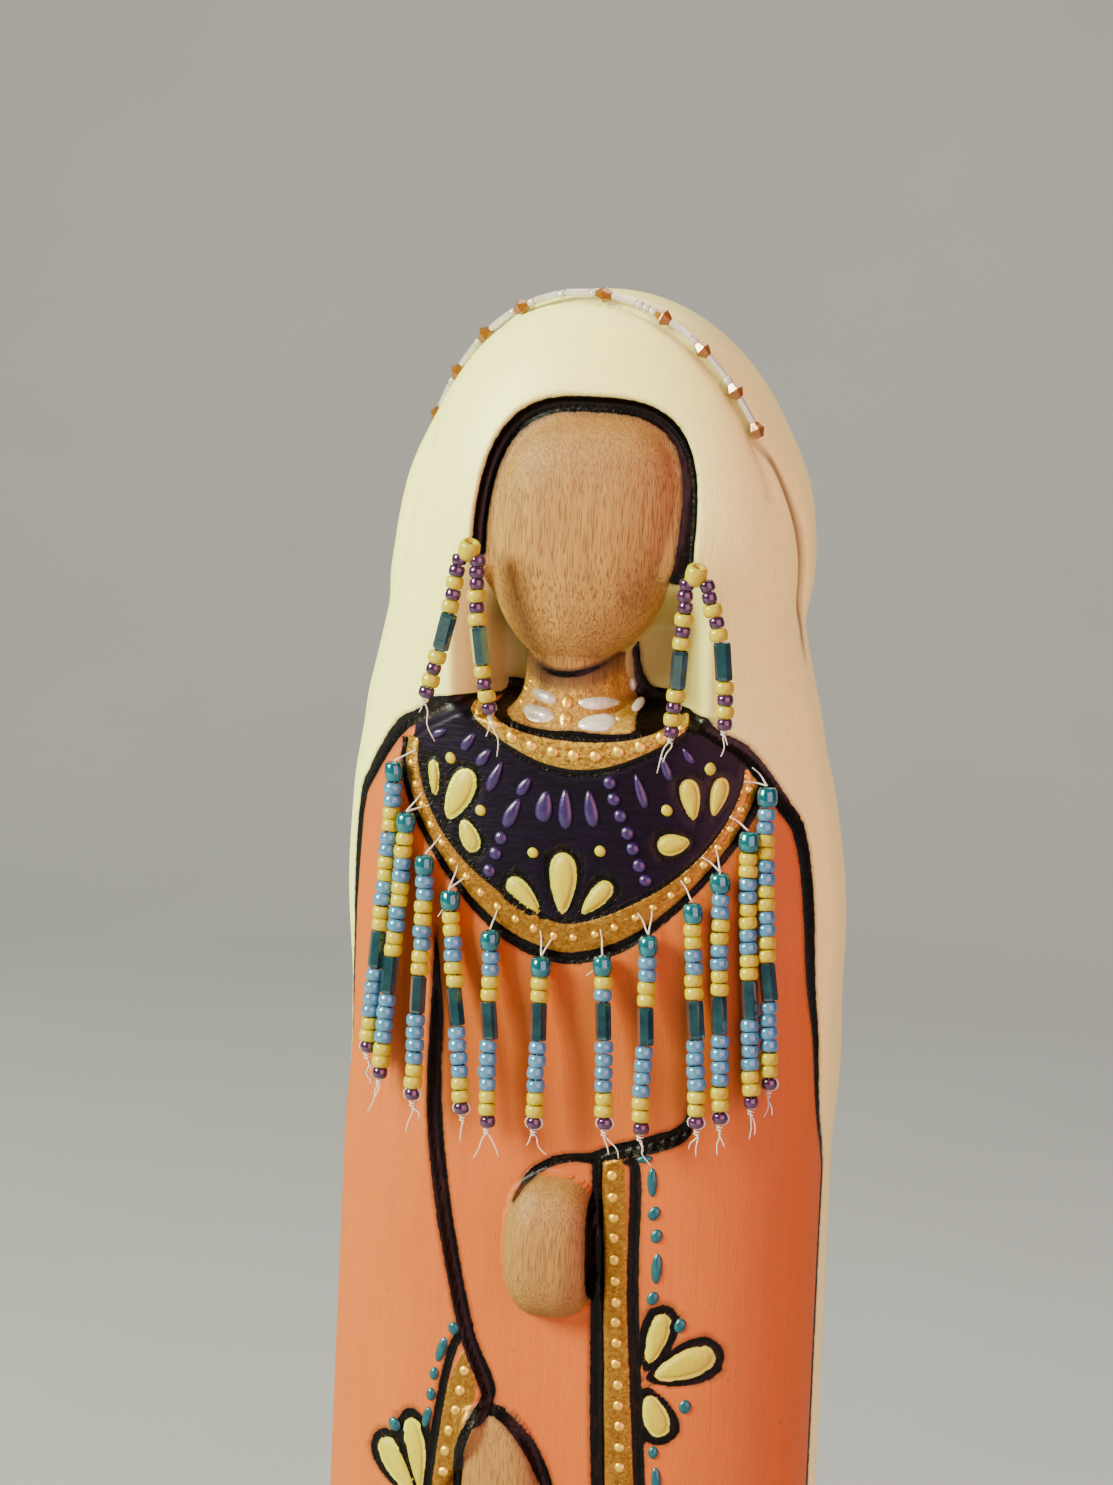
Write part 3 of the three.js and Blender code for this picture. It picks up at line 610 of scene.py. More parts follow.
# Distance of every point from the nearest burned or painted outline, or from the shadow line painted under the
# chin, negative inside the line
def outlineDistance(length, z, x):
    shape = faceShape(x, z)
    strokes = {name: strokeDistance(length, z, stroke) for name, stroke in burned.items()}
    strokes["besideNeck"] = np.where(shape < 1.04, farOff, strokes["besideNeck"])  # it stops at the face
    lines = list(strokes.values())
    inset = archInset(x, z)
    arch = np.minimum(lineDistance(inset, 0.75, 0.68), np.maximum(1.2 - inset, (0.985 - shape) * 5))
    past = np.maximum(np.where(x > 0, ends["archRight"], ends["archLeft"]) - z, 0)
    lines.append(np.where(past > 0, np.hypot(past, np.maximum(arch, 0)), arch))

    edge = veilLengthAt(z)
    slope = np.gradient(edge, axis=0) / np.gradient(z, axis=0)
    veilLine = np.abs(np.abs(length) - edge) / np.sqrt(1 + np.minimum(slope ** 2, 60))
    veilLine = veilLine - blend(0.42, 0.85, ease(200, 236, z))
    lines.append(np.where(z < ends["veilEdge"], veilLine, farOff))

    outer, inner = (collarOffset(x, z, collar[band]) for band in ("outer", "inner"))
    outerHalf, innerHalf = (bandHalf(x, collar[band]) for band in ("outer", "inner"))
    rim = collar["outline"]
    rimHalf = rim * blend(1.15, 0.7, ease(4, 17, np.abs(x)))
    around = lineDistance(outer, outerHalf + rimHalf, rimHalf)
    within = lineDistance(outer, -outerHalf - rim * 0.45, rim * 0.45)
    below = lineDistance(inner, innerHalf + rim * 0.7, rim * 0.7)
    above = lineDistance(inner, -innerHalf - rim * 1.05, rim * 1.05)
    onBody = np.abs(length) < edge - 0.2
    byNeck = onBody & (z > ends["innerBandFoot"]) & (z < ends["innerBandTop"])
    byNeck = byNeck & (np.abs(x) < ends["innerBandReach"])
    lines.append(np.where(onBody & (z < ends["outerBand"]), np.minimum(around, within), farOff))
    lines.append(np.where(byNeck, np.minimum(below, above), farOff))

    lines += [lineDistance(petalDistance(length, z, mark), -0.1, 0.42) for mark in flowerMarks(0.9)]
    lines += [lineDistance(petalDistance(length, z, mark), 0.3, 0.32) for mark in collarPetals]
    lines.append(lineDistance(np.abs(z - hem["middle"]), hem["outline"], 0.4))
    lines.append(lineDistance(z, hem["foot"], 0.45))
    neckSide = np.maximum(-besideNeckAt(x, z), inner + innerHalf + 0.3)
    onNeck = (z > ends["innerBandFoot"]) & (z < ends["neckLine"]) & (np.abs(x) < 10.5)
    lines.append(np.where(onNeck, neckSide, farOff))
    # the thin dark line just under the chin is painted shadow, drawn and sunk like the burned lines
    sideways = np.abs(x - neckX - 0.8)
    chin = lineDistance(belowChin(x, z), 0.35, 0.36 * ease(5, 1.5, sideways))
    lines.append(np.where((z < chinLevel) & (sideways < 4.5), chin, farOff))
    return np.minimum(np.minimum.reduce(lines), farOff)


# Distance below the chin's edge in mm, negative on the face
def belowChin(x, z):
    return (faceShape(x, z) - 1) * 8


# Shade under the chin: grows with the distance below it, and eight times as fast on the face itself
def chinDistance(x, z):
    away = belowChin(x, z)
    onNeck = (z < chinLevel) & (np.abs(x - neckX) < neckRadiusAt(z) + 0.3)
    return np.where(onNeck, np.where(away < 0, away * -8, away), 9)


# Place across the neck, in mm past its painted edge; its foot spreads a little towards +X
def besideNeckAt(x, z):
    foot = ease(257.5, 252.5, z)
    return np.abs(x - neckX - foot) - neckRadiusAt(z) - 0.5 * foot


# Gold paint brushed over the foot of the neck, higher at its sides
def chokerDistance(x, z):
    top = 254.7 + 0.05 * (x - neckX) ** 2
    return np.maximum(z - top, 248.5 - z)


def petalsDistance(length, z):
    petals = [petalDistance(length, z, mark) for mark in collarPetals + flowerMarks()]
    return np.minimum(np.minimum.reduce(petals), farOff)


# Gold paint: both collar bands as far as the veil, the cuffs and the hem's band
def goldDistance(length, z, x):
    outer, inner = (lineDistance(collarOffset(x, z, collar[band]), 0, bandHalf(x, collar[band]))
                    for band in ("outer", "inner"))
    byNeck = (z > ends["innerBandFoot"]) & (z < ends["innerBandTop"] + 0.5)
    byNeck = byNeck & (np.abs(x) < ends["innerBandReach"])
    onDress = z < ends["outerBand"] + 0.5
    bands = np.minimum(np.where(onDress, outer, farOff), np.where(byNeck, inner, farOff))
    gold = [np.maximum(bands, np.abs(length) - veilLengthAt(z))]
    gold.append(lineDistance(z, hem["middle"], hem["half"]))
    return np.minimum.reduce(gold + [strokeDistance(length, z, stroke) for stroke in cuffs.values()])


# Dark collar: inside the outer band, outside the inner one, as far as the veil
def yokeDistance(length, z, x):
    outer, inner = (collarOffset(x, z, collar[band]) for band in ("outer", "inner"))
    shape = np.where(z < collar["outer"]["top"], outer, np.abs(x) - collar["outer"]["wide"])
    within = np.where(np.abs(x) < 12.6, -inner, -farOff)
    return np.maximum.reduce([shape, within, np.abs(length) - veilLengthAt(z)])


# Bare wood: face, neck, both hands and the base
def woodDistance(z, x):
    face = (faceShape(x, z) - 1) * 5
    foot = collarOffset(x, z, collar["inner"]) + bandHalf(x, collar["inner"]) + collar["outline"] * 1.6
    neck = np.maximum.reduce([besideNeckAt(x, z) - 0.2, z - ends["neckTop"], foot])
    hands = np.minimum(handAt(x, z), lowHandAt(x, z)) - 1
    return np.minimum.reduce([face, neck, hands * 4, z - hem["foot"]])


# Veil: outside its edge, all round above the shoulders, and not on the hem
def veilDistance(length, z):
    edge = np.where(z > 253.3, -3, veilLengthAt(z))
    return np.maximum(edge - np.abs(length), 18.2 - z)


# Three distances on the hood: from the seat cut for the headband; from the groove in its +X side, negative
# before it; and from the stretch where that groove is shaded
def seatDistances(points):
    seat = headbandPath()[2]
    x, y, z = (points[..., k] for k in range(3))
    fromSeat = np.full(z.shape, farOff)
    near = z > seat[:, 2].min() - 3
    away = np.linalg.norm(points[near][:, None] - seat[None], axis=-1).min(axis=1)
    fromSeat[near] = np.minimum(away, farOff)
    groove = (y - grooveAt(z)) * blend(1.3, 0.6, ease(284, 272, z))
    return fromSeat, np.clip(groove, -farOff, farOff), np.maximum.reduce([13 - x, z - 284, 259 - z])


# Painted shade in the recess beside the face and neck: 6 mm less its depth below the plain block. On the +X
# side the painted shade runs on past the recess's edge, as a bell round its middle.
def hollowShadeDistance(x, z):
    depth = carvedFront(x, z) - blockFront(x, z)
    besideEdge = 4.0 * np.exp(-((x - 13) / 5.5) ** 2)
    return np.where(z < 280, 6 - (depth + besideEdge) * ease(280, 266, z), 9)


# Whole figure: base, carved surface and crown in one mesh, with each distance as an attribute for paint and
# painted shade. Burned lines, with the painted shadow line under the chin, are sunk and gold is raised along
# the surface's outward direction.
def makeFigure():
    turns = figureTurns()
    turnGrid, z = np.meshgrid(turns, figureRows())
    points = figureSurface(turnGrid, z)
    x = points[..., 0]
    length = lengthAt(turnGrid) * spread(z)
    onFront = np.sin(turnGrid) > -0.05
    onHem = z < hem["top"]
    behind = np.where(onFront, 0, 9)
    line = outlineDistance(length, z, x)
    seat, groove, side = seatDistances(points)
    marks = {
        "line": np.where(onFront | onHem, line, np.maximum(line, np.abs(np.abs(length) - sideLength) - 3)),
        "gold": goldDistance(length, z, x) + np.where(onHem, 0, behind),
        "yoke": yokeDistance(length, z, x) + behind,
        "wood": woodDistance(z, x) + np.where(z < 9, 0, behind),
        "veil": veilDistance(length, z),
        "seat": seat,
        "groove": groove,
        "side": side,
        # distance for the shade painted in the recess beside the face and neck
        "hollow": np.where(onFront, hollowShadeDistance(x, z), 9),
        "chin": np.where(onFront, chinDistance(x, z), 9),
        "choker": np.where(onFront, chokerDistance(x, z), 9),
        "petal": np.where(onFront, petalsDistance(length, z), 9),
    }
    lift = ease(0.2, -0.3, marks["gold"]) * carving["goldThickness"]
    lift = lift - ease(0.15, -0.55, marks["line"]) * carving["burnDepth"]
    lift = lift - carving["bandSeat"] * np.exp(-marks["seat"] ** 2)
    points = points + gridNormals(points) * lift[..., None]
    base = baseRings(turns)
    grid = np.concatenate([base, points])
    rings, sides = grid.shape[:2]
    flatPoints = grid.reshape(-1, 3)
    ends = np.array([flatPoints[:sides].mean(0), flatPoints[-sides:].mean(0)])
    ends[1, 2] = crown
    i = np.arange(sides)
    low, high = rings * sides, rings * sides + 1
    top = (rings - 1) * sides
    caps = np.concatenate([np.stack([0 * i + low, (i + 1) % sides, i], -1),
                           np.stack([0 * i + high, top + i, top + (i + 1) % sides], -1)])
    piece = buildMesh("doll_figure", np.vstack([flatPoints, ends]), ringQuads(rings, sides), caps)
    for name, values in marks.items():
        bare = -3.0 if name == "wood" else farOff  # the base is bare wood, and the crown is veil
        onBase = np.full(base.shape[:2], bare)
        crownValue = -3.0 if name == "veil" else farOff
        full = np.concatenate([onBase.ravel(), values.ravel(), [bare, crownValue]])
        layer = piece.data.attributes.new(name, "FLOAT", "POINT")
        layer.data.foreach_set("value", full.astype(np.float32))
    return piece


# Raised paint: each mark is a flat dome, an ellipse that may taper, laid on the carved surface. Rings run
# from the rim to the middle; the dome's height is (1 - r to the 2.4) to the 0.6.
def paintMarks(name, marks, sides=14):
    table = np.array(marks, float)
    x, z, long, wide, angle, high, taper = table.T[:, :, None, None]
    radii = np.array([1.0, 0.9, 0.68, 0.38, 0.0])[None, :, None]
    turn = np.linspace(0, 2 * math.pi, sides, endpoint=False)[None, None, :]
    wobble = 1 + 0.05 * random.standard_normal((len(table), 1, 1)) * np.cos(2 * turn + x)
    along = long / 2 * radii * np.cos(turn) * wobble
    across = wide / 2 * radii * np.sin(turn) * (1 + taper * radii * np.cos(turn))
    tilt = np.radians(angle)
    ds = along * np.sin(tilt) + across * np.cos(tilt)
    dz = along * np.cos(tilt) - across * np.sin(tilt)
    height = z + dz
    length = toLengths(x, z) + ds
    rise = np.where(radii > 0.99, -0.08, high * (1 - radii ** 2.4) ** 0.6) + 0 * ds
    centre, normal = surfaceFrame(length, height)
    points = centre + normal * rise[..., None]
    rings = len(radii[0])
    each = rings * sides
    quads = ringQuads(rings, sides)
    shifts = np.arange(len(table))[:, None, None] * each
    piece = buildMesh(name, points.reshape(-1, 3), (quads[None] + shifts).reshape(-1, 4))
    return closeMiddles(piece)


# Merges the points that meet at each dome's middle
def closeMiddles(piece):
    work = bmesh.new()
    work.from_mesh(piece.data)
    bmesh.ops.remove_doubles(work, verts=work.verts, dist=1e-7)
    bmesh.ops.recalc_face_normals(work, faces=work.faces)
    work.to_mesh(piece.data)
    work.free()
    piece.data.polygons.foreach_set("use_smooth", np.ones(len(piece.data.polygons), bool))
    return piece


# Point on the surface and its outward direction, at a length from the front's middle and a height
def surfaceFrame(length, height):
    step = 0.25
    spot = lambda s, h: figureSurface(turnAt(s, h), h)
    acrossWay = spot(length + step, height) - spot(length - step, height)
    upWay = spot(length, height + step) - spot(length, height - step)
    return spot(length, height), unit(np.cross(acrossWay, upWay))


# Round dots at points given as x and z, each shaken a little in place and length
def dotsAlong(points, size, high):
    x, z = points
    shake = random.standard_normal((3, len(x))) * 0.06
    return [(x[i] + shake[0, i], z[i] + shake[1, i], size + shake[2, i], size, 0, high, 0)
            for i in range(len(x))]


# Points evenly spaced along a stroke of x, z, half width
def alongStroke(stroke, spacing, inset):
    x, z, _ = smoothPath(stroke).T
    run = runAlong(x, z)
    at = np.arange(inset, run[-1] - inset, spacing)
    return np.interp(at, run, x), np.interp(at, run, z)


# Short strokes of violet paint that fan out from the collar's inner band, and chains of dots
violet = {
    "fan": [(-16.5, 248.7, 2.2, 1.0, 62), (-12.8, 248.1, 2.9, 1.2, 38), (-10.8, 246.5, 2.7, 1.3, 36),
            (-9.3, 244.4, 3.9, 1.3, 26), (-5.7, 243.6, 2.8, 1.3, 33), (-7.0, 240.4, 4.0, 1.6, 27),
            (-3.2, 241.5, 3.9, 2.0, 10), (-0.7, 241.4, 4.7, 1.7, 0), (2.3, 241.7, 4.3, 1.7, -8),
            (7.9, 244.1, 4.1, 1.2, -18), (10.6, 246.9, 3.1, 1.1, -20), (13.0, 248.4, 2.2, 1.0, -35)],
    "dots": [(-8.2, 237.4), (-8.8, 235.4), (-9.4, 233.4), (4.3, 244.7), (5.0, 242.9), (5.8, 241.1),
             (6.6, 239.3), (7.4, 237.4), (8.2, 235.6), (9.1, 234.0)],
}

yellowDots = [(-14.9, 246.0), (-10.9, 240.4), (-4.3, 235.9), (3.6, 236.9), (11.0, 242.0), (15.5, 247.0)]

# Teal marks beside the cuffs: x, z, length, width, angle
teal = [
    (10.7, 201.3, 2.0, 0.9, 80), (11.7, 198.6, 3.6, 1.2, -4), (12.1, 194.9, 2.0, 1.4, 30),
    (12.5, 192.2, 1.8, 1.4, 20), (12.7, 188.3, 3.9, 1.3, 2), (12.4, 184.7, 1.8, 1.4, 25),
    (15.7, 181.6, 1.9, 1.4, 20), (16.7, 171.8, 1.8, 1.5, 10), (13.3, 166.0, 1.5, 1.3, 10),
    (13.8, 162.6, 3.4, 1.2, -4), (14.4, 158.6, 1.6, 1.3, 0), (14.9, 155.9, 1.6, 1.3, 0),
    (15.5, 152.2, 3.4, 1.2, -6), (16.2, 148.4, 1.6, 1.3, 0), (-11.3, 178.4, 1.6, 1.4, 0),
    (-12.7, 175.6, 3.4, 1.2, 16), (-13.5, 172.5, 1.7, 1.2, 10), (-13.8, 169.9, 1.7, 1.2, 10),
    (-14.2, 167.0, 2.8, 1.1, 14), (-18.4, 165.3, 1.9, 1.5, -40), (-15.6, 148.8, 1.6, 1.3, 10),
    (-16.3, 145.4, 3.2, 1.2, 14), (-17.3, 141.8, 1.5, 1.2, 10),
]

# Choker strokes: x, z, length, width, angle
choker = {
    "pearl": [(-4.5, 253.8, 3.3, 1.4, 102), (1.7, 253.3, 4.1, 1.4, 91), (4.4, 254.9, 1.7, 0.9, 165),
              (-4.9, 251.9, 4.2, 1.7, 97), (2.2, 251.4, 4.5, 1.6, 88), (5.7, 253.0, 1.3, 1.1, 60)],
    "gold": [(-1.6, 253.4, 1.6, 1.4, 0), (-1.5, 251.7, 1.6, 1.5, 0), (4.7, 252.2, 1.9, 0.9, 80),
             (-7.1, 254.2, 0.9, 0.8, 0), (-7.5, 252.8, 0.9, 0.8, 0), (-6.5, 255.1, 0.8, 0.7, 0)],
}


# Strokes as marks with one height and taper
def withHeight(strokes, high, taper=0.0):
    return [(*stroke, high, taper) for stroke in strokes]


# Shader arithmetic: a wire is one number socket, and sums on it add Math nodes
class Wire:
    def __init__(self, bench, socket):
        self.bench = bench
        self.socket = socket

    def sum(self, operation, *others):
        return Wire(self.bench, self.bench.node("ShaderNodeMath", {"operation": operation},
                                                dict(enumerate((self,) + others))))

    def __add__(self, other):
        return self.sum("ADD", other)

    def __sub__(self, other):
        return self.sum("SUBTRACT", other)

    def __mul__(self, other):
        return self.sum("MULTIPLY", other)

    def __rsub__(self, other):
        return (self * -1.0) + other

    __radd__ = __add__
    __rmul__ = __mul__

    def clamp(self):
        return self.sum("MINIMUM", 1.0).sum("MAXIMUM", 0.0)

    # 1 where the number is below the edge, 0 above it, over a soft width
    def below(self, edge, soft):
        return ((edge - self) * (1 / soft) + 0.5).clamp()

    def above(self, edge, soft):
        return ((self - edge) * (1 / soft) + 0.5).clamp()


# A bench holds one material's tree; node() adds any node, sets it, then fills its sockets
class Bench:
    def __init__(self, name):
        self.material = bpy.data.materials.new(name)
        self.material.use_nodes = True
        self.tree = self.material.node_tree
        self.shader = self.tree.nodes["Principled BSDF"]
        self.place = self.node("ShaderNodeTexCoord", {}, {}, "Object")

    def node(self, kind, settings, sockets, output=0):
        made = self.tree.nodes.new(kind)
        for name, value in settings.items():
            if name == "stops":
                self.setStops(made.color_ramp, value)
            else:
                setattr(made, name, value)
        for name, value in sockets.items():
            self.fill(made.inputs[name], value)
        return made.outputs[output]

    def fill(self, socket, value):
        value = value.socket if isinstance(value, Wire) else value
        if isinstance(value, bpy.types.NodeSocket):
            self.tree.links.new(value, socket)
        elif isinstance(value, tuple) and len(value) == 3 and socket.type == "RGBA":
            socket.default_value = (*value, 1.0)
        else:
            socket.default_value = value

    def setStops(self, ramp, stops):
        while len(ramp.elements) < len(stops):
            ramp.elements.new(1.0)
        for element, (place, value) in zip(ramp.elements, stops):
            element.position = place
            element.color = (*value, 1.0) if isinstance(value, tuple) else (value, value, value, 1.0)

    # Object coordinates in millimetres, stretched along each axis
    def stretched(self, x, y, z):
        scale = (x / mm, y / mm, z / mm)
        return self.node("ShaderNodeMapping", {}, {"Vector": self.place, "Scale": scale})

    def noise(self, stretch, detail=2.0, rough=0.5, twist=0.0):
        sockets = {"Vector": self.stretched(*stretch), "Scale": 1.0, "Detail": detail, "Roughness": rough,
                   "Distortion": twist}
        return Wire(self, self.node("ShaderNodeTexNoise", {}, sockets, "Fac"))

    def cells(self, stretch, output):
        sockets = {"Vector": self.stretched(*stretch), "Scale": 1.0, "Randomness": 1.0}
        return self.node("ShaderNodeTexVoronoi", {}, sockets, output)

    def mark(self, name):
        return Wire(self, self.node("ShaderNodeAttribute", {"attribute_name": name}, {}, "Fac"))

    # Colour between two colours by a number
    def between(self, amount, first, second):
        sockets = {0: amount, 6: first, 7: second}
        return self.node("ShaderNodeMix", {"data_type": "RGBA"}, sockets, 2)

    def bump(self, height, distance, strength):
        sockets = {"Height": height, "Distance": distance * mm, "Strength": strength}
        return self.node("ShaderNodeBump", {}, sockets)

    def finish(self, **sockets):
        for name, value in sockets.items():
            self.fill(self.shader.inputs[name.replace("_", " ")], value)
        return self.material


# Display colour, 0 to 255, made linear
def colour(red, green, blue):
    toLinear = lambda v: (v / 255 / 12.92) if v <= 10 else ((v / 255 + 0.055) / 1.055) ** 2.4
    return (toLinear(red), toLinear(green), toLinear(blue))


# Display colours of the figure's finishes, and of the shade painted in the hood's recess and groove and under
# the chin
woodFinish = {
    "coral": (190, 96, 16),
    "coralShade": (170, 75, 10),
    "cream": (253, 253, 156),
    "creamShade": (246, 238, 136),
    "wood": (176, 135, 62),
    "woodShade": (132, 90, 42),
    "fleck": (84, 44, 18),
    "yoke": (18, 4, 30),
    "yokeShade": (3, 1, 7),
    "gold": (126, 76, 16),
    "goldGlint": (232, 190, 78),
    "burn": (2, 1, 1),
    # scorch: brown at the edges of the burned lines, and also the painted shade under the chin
    "scorch": (60, 32, 16),
    # painted shade in the hood's side groove and under the headband
    "grooveShade": (112, 86, 50),
    "petalRim": (196, 190, 60),
    # painted shade in the recess beside the face and neck
    "hollow": (140, 116, 58),
}


# Whole figure: coral dress, cream veil, bare wood, dark collar, gold bands, burned lines and painted shade in
# the hood's recess and groove and under the chin, each where the mesh's own distances say; their edges wander
# a little, as a hand's do
def carvedWood():
    b = Bench("carved_and_painted_wood")
    tone = {name: colour(*value) for name, value in woodFinish.items()}
    wander = (b.noise((1.1, 1.1, 1.1), 3) - 0.5) * 0.5 + (b.noise((4.5, 4.5, 4.5), 2) - 0.5) * 0.22
    line = (b.mark("line") + wander * 0.55).below(0.0, 0.12)
    scorch = (b.mark("line") + wander).below(0.28, 0.5)
    gold = (b.mark("gold") + wander * 0.3).below(0.0, 0.12)
    yoke = b.mark("yoke").below(0.0, 0.15)
    wood = b.mark("wood").below(0.0, 0.15)
    veil = b.mark("veil").below(0.0, 0.15)

    broad = b.noise((0.5, 0.5, 0.035), 3, 0.6, 0.4)
    fibre = b.noise((2.6, 2.6, 0.11), 4, 0.65)
    fine = b.noise((7.0, 7.0, 0.45), 2, 0.5)
    flecks = b.noise((6.2, 6.2, 0.4), 1, 0.4).above(0.59, 0.1)
    grain = (broad * 0.5 + fibre * 0.7 - 0.1).clamp()
    bare = b.between(grain.below(0.5, 0.5), tone["wood"], tone["woodShade"])
    bare = b.between((flecks * (fine * 0.6 + 0.3)).clamp(), bare, tone["fleck"])
    bare = b.between(b.mark("choker").above(20, 8) * 0.4, bare, tone["woodShade"])
    # painted shade under the chin: the bare wood darkened towards the scorch tone
    bare = b.between(b.mark("chin").below(2.0, 3.6) * 0.9, bare, tone["scorch"])

    mottle = b.noise((0.16, 0.16, 0.05), 4, 0.6)
    brush = b.noise((1.4, 1.4, 0.06), 3, 0.6)
    coral = b.between((mottle * 0.8 + brush * 0.4 - 0.25).clamp(), tone["coral"], tone["coralShade"])
    specks = Wire(b, b.cells((0.28, 0.28, 0.28), "Distance")).below(0.07, 0.03)
    specks = specks * b.noise((0.09, 0.09, 0.09), 1).above(0.5, 0.1)
    coral = b.between(specks * 0.7, coral, tone["woodShade"])
    coral = b.between(flecks * 0.16, coral, tone["woodShade"])
    cream = b.between((mottle * 0.7 + brush * 0.5 - 0.25).clamp(), tone["cream"], tone["creamShade"])
    cream = b.between(flecks * 0.12, cream, tone["wood"])
    # painted shade: the veil darkened to olive brown in the recess beside the face and neck
    cream = b.between(b.mark("hollow").below(2.0, 6.0) * 0.8, cream, tone["hollow"])

    strokes = b.noise((0.5, 0.5, 2.2), 4, 0.6)
    dark = b.between(strokes.above(0.45, 0.4), tone["yokeShade"], tone["yoke"])
    glitter = Wire(b, b.node("ShaderNodeSeparateColor", {}, {0: b.cells((3.2, 3.2, 3.2), "Color")}, 0))
    shine = (glitter * 0.6 + b.noise((1.5, 1.5, 1.5), 3) * 0.6 - 0.2).clamp()
    sparkle = b.mark("choker").below(3.0, 3.0) * 0.65 + 0.35
    golden = b.between(shine * sparkle, tone["gold"], tone["goldGlint"])

    paint = b.between(veil, coral, cream)
    brushed = b.mark("choker").below(0.0, 0.8) * (shine * 0.9 + 0.2).clamp() * wood
    paint = b.between(wood, paint, b.between(brushed, bare, golden))
    paint = b.between(yoke * (1 - wood), paint, dark)
    paint = b.between(scorch * 0.55 * (1 - yoke), paint, tone["scorch"])
    # painted shade: the hood's side groove and the headband's seat darkened to grey brown
    groove = b.mark("groove").below(0.5, 0.6) * b.mark("groove").above(-0.5, 0.6)
    groove = groove * b.mark("side").below(0, 4) * 0.85 + b.mark("seat").below(0.5, 1.2) * 0.35
    paint = b.between(groove.clamp(), paint, tone["grooveShade"])
    paint = b.between((b.mark("petal") + wander * 0.4).below(0.0, 0.12), paint, tone["petalRim"])
    paint = b.between(gold, paint, golden)
    charred = b.noise((2.0, 2.0, 0.5), 3).above(0.62, 0.2) * 0.35
    burnTone = b.between(charred, tone["burn"], tone["scorch"])
    paint = b.between(line, paint, burnTone)

    matt = 0.5 + fibre * 0.12 - yoke * 0.04 - gold * 0.16 - veil * (1 - wood) * 0.12
    rough = matt * (1 - line) + line * (0.24 + fine * 0.2)
    plain = (1 - yoke) * (1 - gold)
    darkPaint = yoke * (1 - gold) * (1 - line) * (1 - wood)
    height = (fibre * 0.5 + fine * 0.35 - flecks * 0.3) * (wood * 0.7 + 0.35) * plain
    height = height + strokes * yoke * 0.8 + (glitter * 0.5 + shine * 0.5) * gold
    height = height * (1 - line) + line * b.noise((2.2, 2.2, 2.2), 3) * 1.6 + brush * 0.25
    metal = (gold * 0.75 + brushed * 0.5).clamp() * (1 - line) + line * 0.75 + darkPaint * 0.75
    coat = line * 0.12 + yoke * 0.08 + veil * (1 - wood) * 0.14
    return b.finish(Base_Color=paint, Roughness=rough, Metallic=metal.clamp(), Coat_Weight=coat,
                    Coat_Roughness=0.26, Specular_IOR_Level=0.35, Normal=b.bump(height, 0.11, 0.9))


# Raised paint: a pearly, metallic or plain acrylic bead of paint
def raisedPaint(name, main, second, metal, rough, coat):
    b = Bench(name)
    streaks = b.noise((2.4, 2.4, 0.7), 3, 0.6)
    spots = b.noise((5.0, 5.0, 5.0), 3, 0.6)
    paint = b.between((streaks * 1.4 - 0.35).clamp(), colour(*main), colour(*second))
    return b.finish(Base_Color=paint, Roughness=rough + spots * 0.16, Metallic=metal, Coat_Weight=coat,
                    Coat_Roughness=0.12, Normal=b.bump(streaks * 0.6 + spots * 0.5, 0.09, 0.8))


# Glass of the beads: opaque or see-through, with a faint change of colour from bead to bead
def beadGlass(name, main, second, metal=0.0, rough=0.1, coat=1.0, clear=0.0):
    b = Bench(name)
    change = b.noise((0.45, 0.45, 0.7), 1)
    swirl = b.noise((2.2, 2.2, 2.2), 2)
    tone = b.between((change * 1.5 + swirl * 0.5 - 0.5).clamp(), colour(*main), colour(*second))
    return b.finish(Base_Color=tone, Roughness=rough + swirl * 0.1, Metallic=metal, Coat_Weight=coat,
                    Coat_Roughness=0.05, Transmission_Weight=clear, IOR=1.5,
                    Normal=b.bump(swirl, 0.04, 0.5))


# Thread: a pale twisted fibre
def threadFibre():
    b = Bench("beading_thread")
    twist = b.noise((6.0, 6.0, 2.0), 2)
    tone = b.between(twist, colour(226, 222, 212), colour(190, 182, 170))
    return b.finish(Base_Color=tone, Roughness=0.75 + twist * 0.1, Normal=b.bump(twist, 0.05, 0.6))


# Beads, in millimetres: diameter, length along the thread, hole as a share of the diameter, and shape
beads = {
    "seed": {"wide": 2.2, "long": 1.45, "hole": 0.34, "shape": "round"},
    "end": {"wide": 1.85, "long": 1.305, "hole": 0.34, "shape": "round"},
    "bugle": {"wide": 1.95, "long": 4.5, "hole": 0.42, "shape": "tube"},
    "pin": {"wide": 2.4, "long": 2.4, "hole": 0.2, "shape": "round"},
    "ear": {"wide": 2.6, "long": 2.3, "hole": 0.25, "shape": "round"},
    "bicone": {"wide": 2.0, "long": 1.9, "hole": 0.3, "shape": "cone"},
    "slimBugle": {"wide": 0.85, "long": 3.2, "hole": 0.4, "shape": "tube"},
    "tiny": {"wide": 1.0, "long": 0.9, "hole": 0.34, "shape": "round"},
}
# Hanging: gap to the wood, swing at the foot, the pins' places outside the collar, the earrings' distance
hanging = {"gap": 0.3, "swing": 1.5, "pinOutset": 1.3, "pinDrop": 3.6, "earringHang": 1.6}


